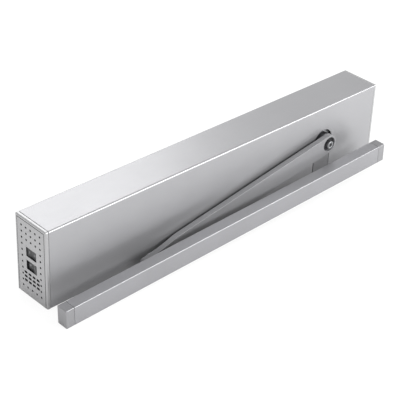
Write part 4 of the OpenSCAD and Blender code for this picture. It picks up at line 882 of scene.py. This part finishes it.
# angles in degrees, distance and aim in mm, clips in metres
camera = {
    "azimuth": -44.17, "elevation": 32.62, "roll": 2.39, "distance": 2056.0,
    "aimX": -19.79, "aimZ": 34.15, "lens": 119.45, "sensor": 36.0, "near": 0.05, "far": 50.0,
}
# place, aim, width and height in mm, and watts
lamps = {
    "backSoftbox": {"place": (250, 1000, 980), "aim": (-300, 0, 130), "size": (1000, 900),
                    "watts": 8.8},
    "edgeSoftbox": {"place": (2300, -3750, 1900), "aim": (0, 0, 80), "size": (3000, 1200),
                    "watts": 250.0},
}


def makeWorld():
    # white to the camera, to reflections and through glass, and a soft light to everything else
    world = bpy.data.worlds.new("paleStudio")
    bpy.context.scene.world = world
    world.use_nodes = True
    tree = world.node_tree
    tree.nodes.clear()
    colour = hexColour(studio["backdrop"])
    white = addNode(tree, "ShaderNodeBackground", {"Color": colour, "Strength": 1.0})
    soft = addNode(tree, "ShaderNodeBackground", {
        "Color": colour, "Strength": studio["worldDiffuse"]})
    rays = addNode(tree, "ShaderNodeLightPath")
    seen = addNode(tree, "ShaderNodeMath", {
        0: rays.outputs["Is Camera Ray"], 1: rays.outputs["Is Glossy Ray"]}, operation="MAXIMUM")
    through = addNode(tree, "ShaderNodeMath", {
        0: seen.outputs[0], 1: rays.outputs["Is Transmission Ray"]}, operation="MAXIMUM")
    mixed = addNode(tree, "ShaderNodeMixShader", {
        0: through.outputs[0], 1: soft.outputs[0], 2: white.outputs[0]})
    addNode(tree, "ShaderNodeOutputWorld", {"Surface": mixed.outputs[0]})


def makeFloor():
    # mostly white to the camera, so that it ends in the background and keeps a faint shadow
    material, tree = newMaterial("paleFloor")
    white = addNode(tree, "ShaderNodeEmission", {
        "Color": hexColour(studio["backdrop"]), "Strength": 1.0})
    matt = addNode(tree, "ShaderNodeBsdfDiffuse", {"Color": hexColour(studio["floorAlbedo"])})
    rays = addNode(tree, "ShaderNodeLightPath")
    share = addNode(tree, "ShaderNodeMath", {
        0: rays.outputs["Is Camera Ray"], 1: studio["cameraWhite"]}, operation="MULTIPLY")
    mixed = addNode(tree, "ShaderNodeMixShader", {
        0: share.outputs[0], 1: matt.outputs[0], 2: white.outputs[0]})
    addNode(tree, "ShaderNodeOutputMaterial", {"Surface": mixed.outputs[0]})
    half, drop = studio["floorSize"] / 2, -studio["floorDrop"] * mm
    mesh = bpy.data.meshes.new("floor")
    corners = ((-half, -half, drop), (half, -half, drop), (half, half, drop), (-half, half, drop))
    mesh.from_pydata(corners, [], [(0, 1, 2, 3)])
    meshObject("floor", mesh, material)


def makeLamps():
    for name, lamp in lamps.items():
        data = bpy.data.lights.new(name, "AREA")
        data.shape = "RECTANGLE"
        data.size, data.size_y = (side * mm for side in lamp["size"])
        data.energy = lamp["watts"]
        light = newObject(name, data)
        place = Vector(lamp["place"]) * mm
        light.location = place
        aim = Vector(lamp["aim"]) * mm - place
        light.rotation_euler = aim.to_track_quat("-Z", "Y").to_euler()
        light.visible_camera = False


def makeCamera():
    a, e, roll = (math.radians(camera[key]) for key in ("azimuth", "elevation", "roll"))
    back = Vector((math.sin(a) * math.cos(e), -math.cos(a) * math.cos(e), math.sin(e)))
    level = Vector((0, 0, 1)).cross(back).normalized()
    upright = back.cross(level)
    right = level * math.cos(roll) + upright * math.sin(roll)
    up = upright * math.cos(roll) - level * math.sin(roll)
    turn = Matrix((right, up, back)).transposed().to_4x4()
    place = back * camera["distance"] + Vector((camera["aimX"], 0, camera["aimZ"]))
    data = bpy.data.cameras.new("camera")
    data.lens = camera["lens"]
    data.sensor_width = camera["sensor"]
    data.clip_start = camera["near"]
    data.clip_end = camera["far"]
    view = newObject("camera", data)
    view.matrix_world = Matrix.Translation(place * mm) @ turn
    bpy.context.scene.camera = view


makeWorld()
makeFloor()
makeLamps()
makeCamera()
bpy.context.scene.view_settings.view_transform = "Standard"
print("studio lit")
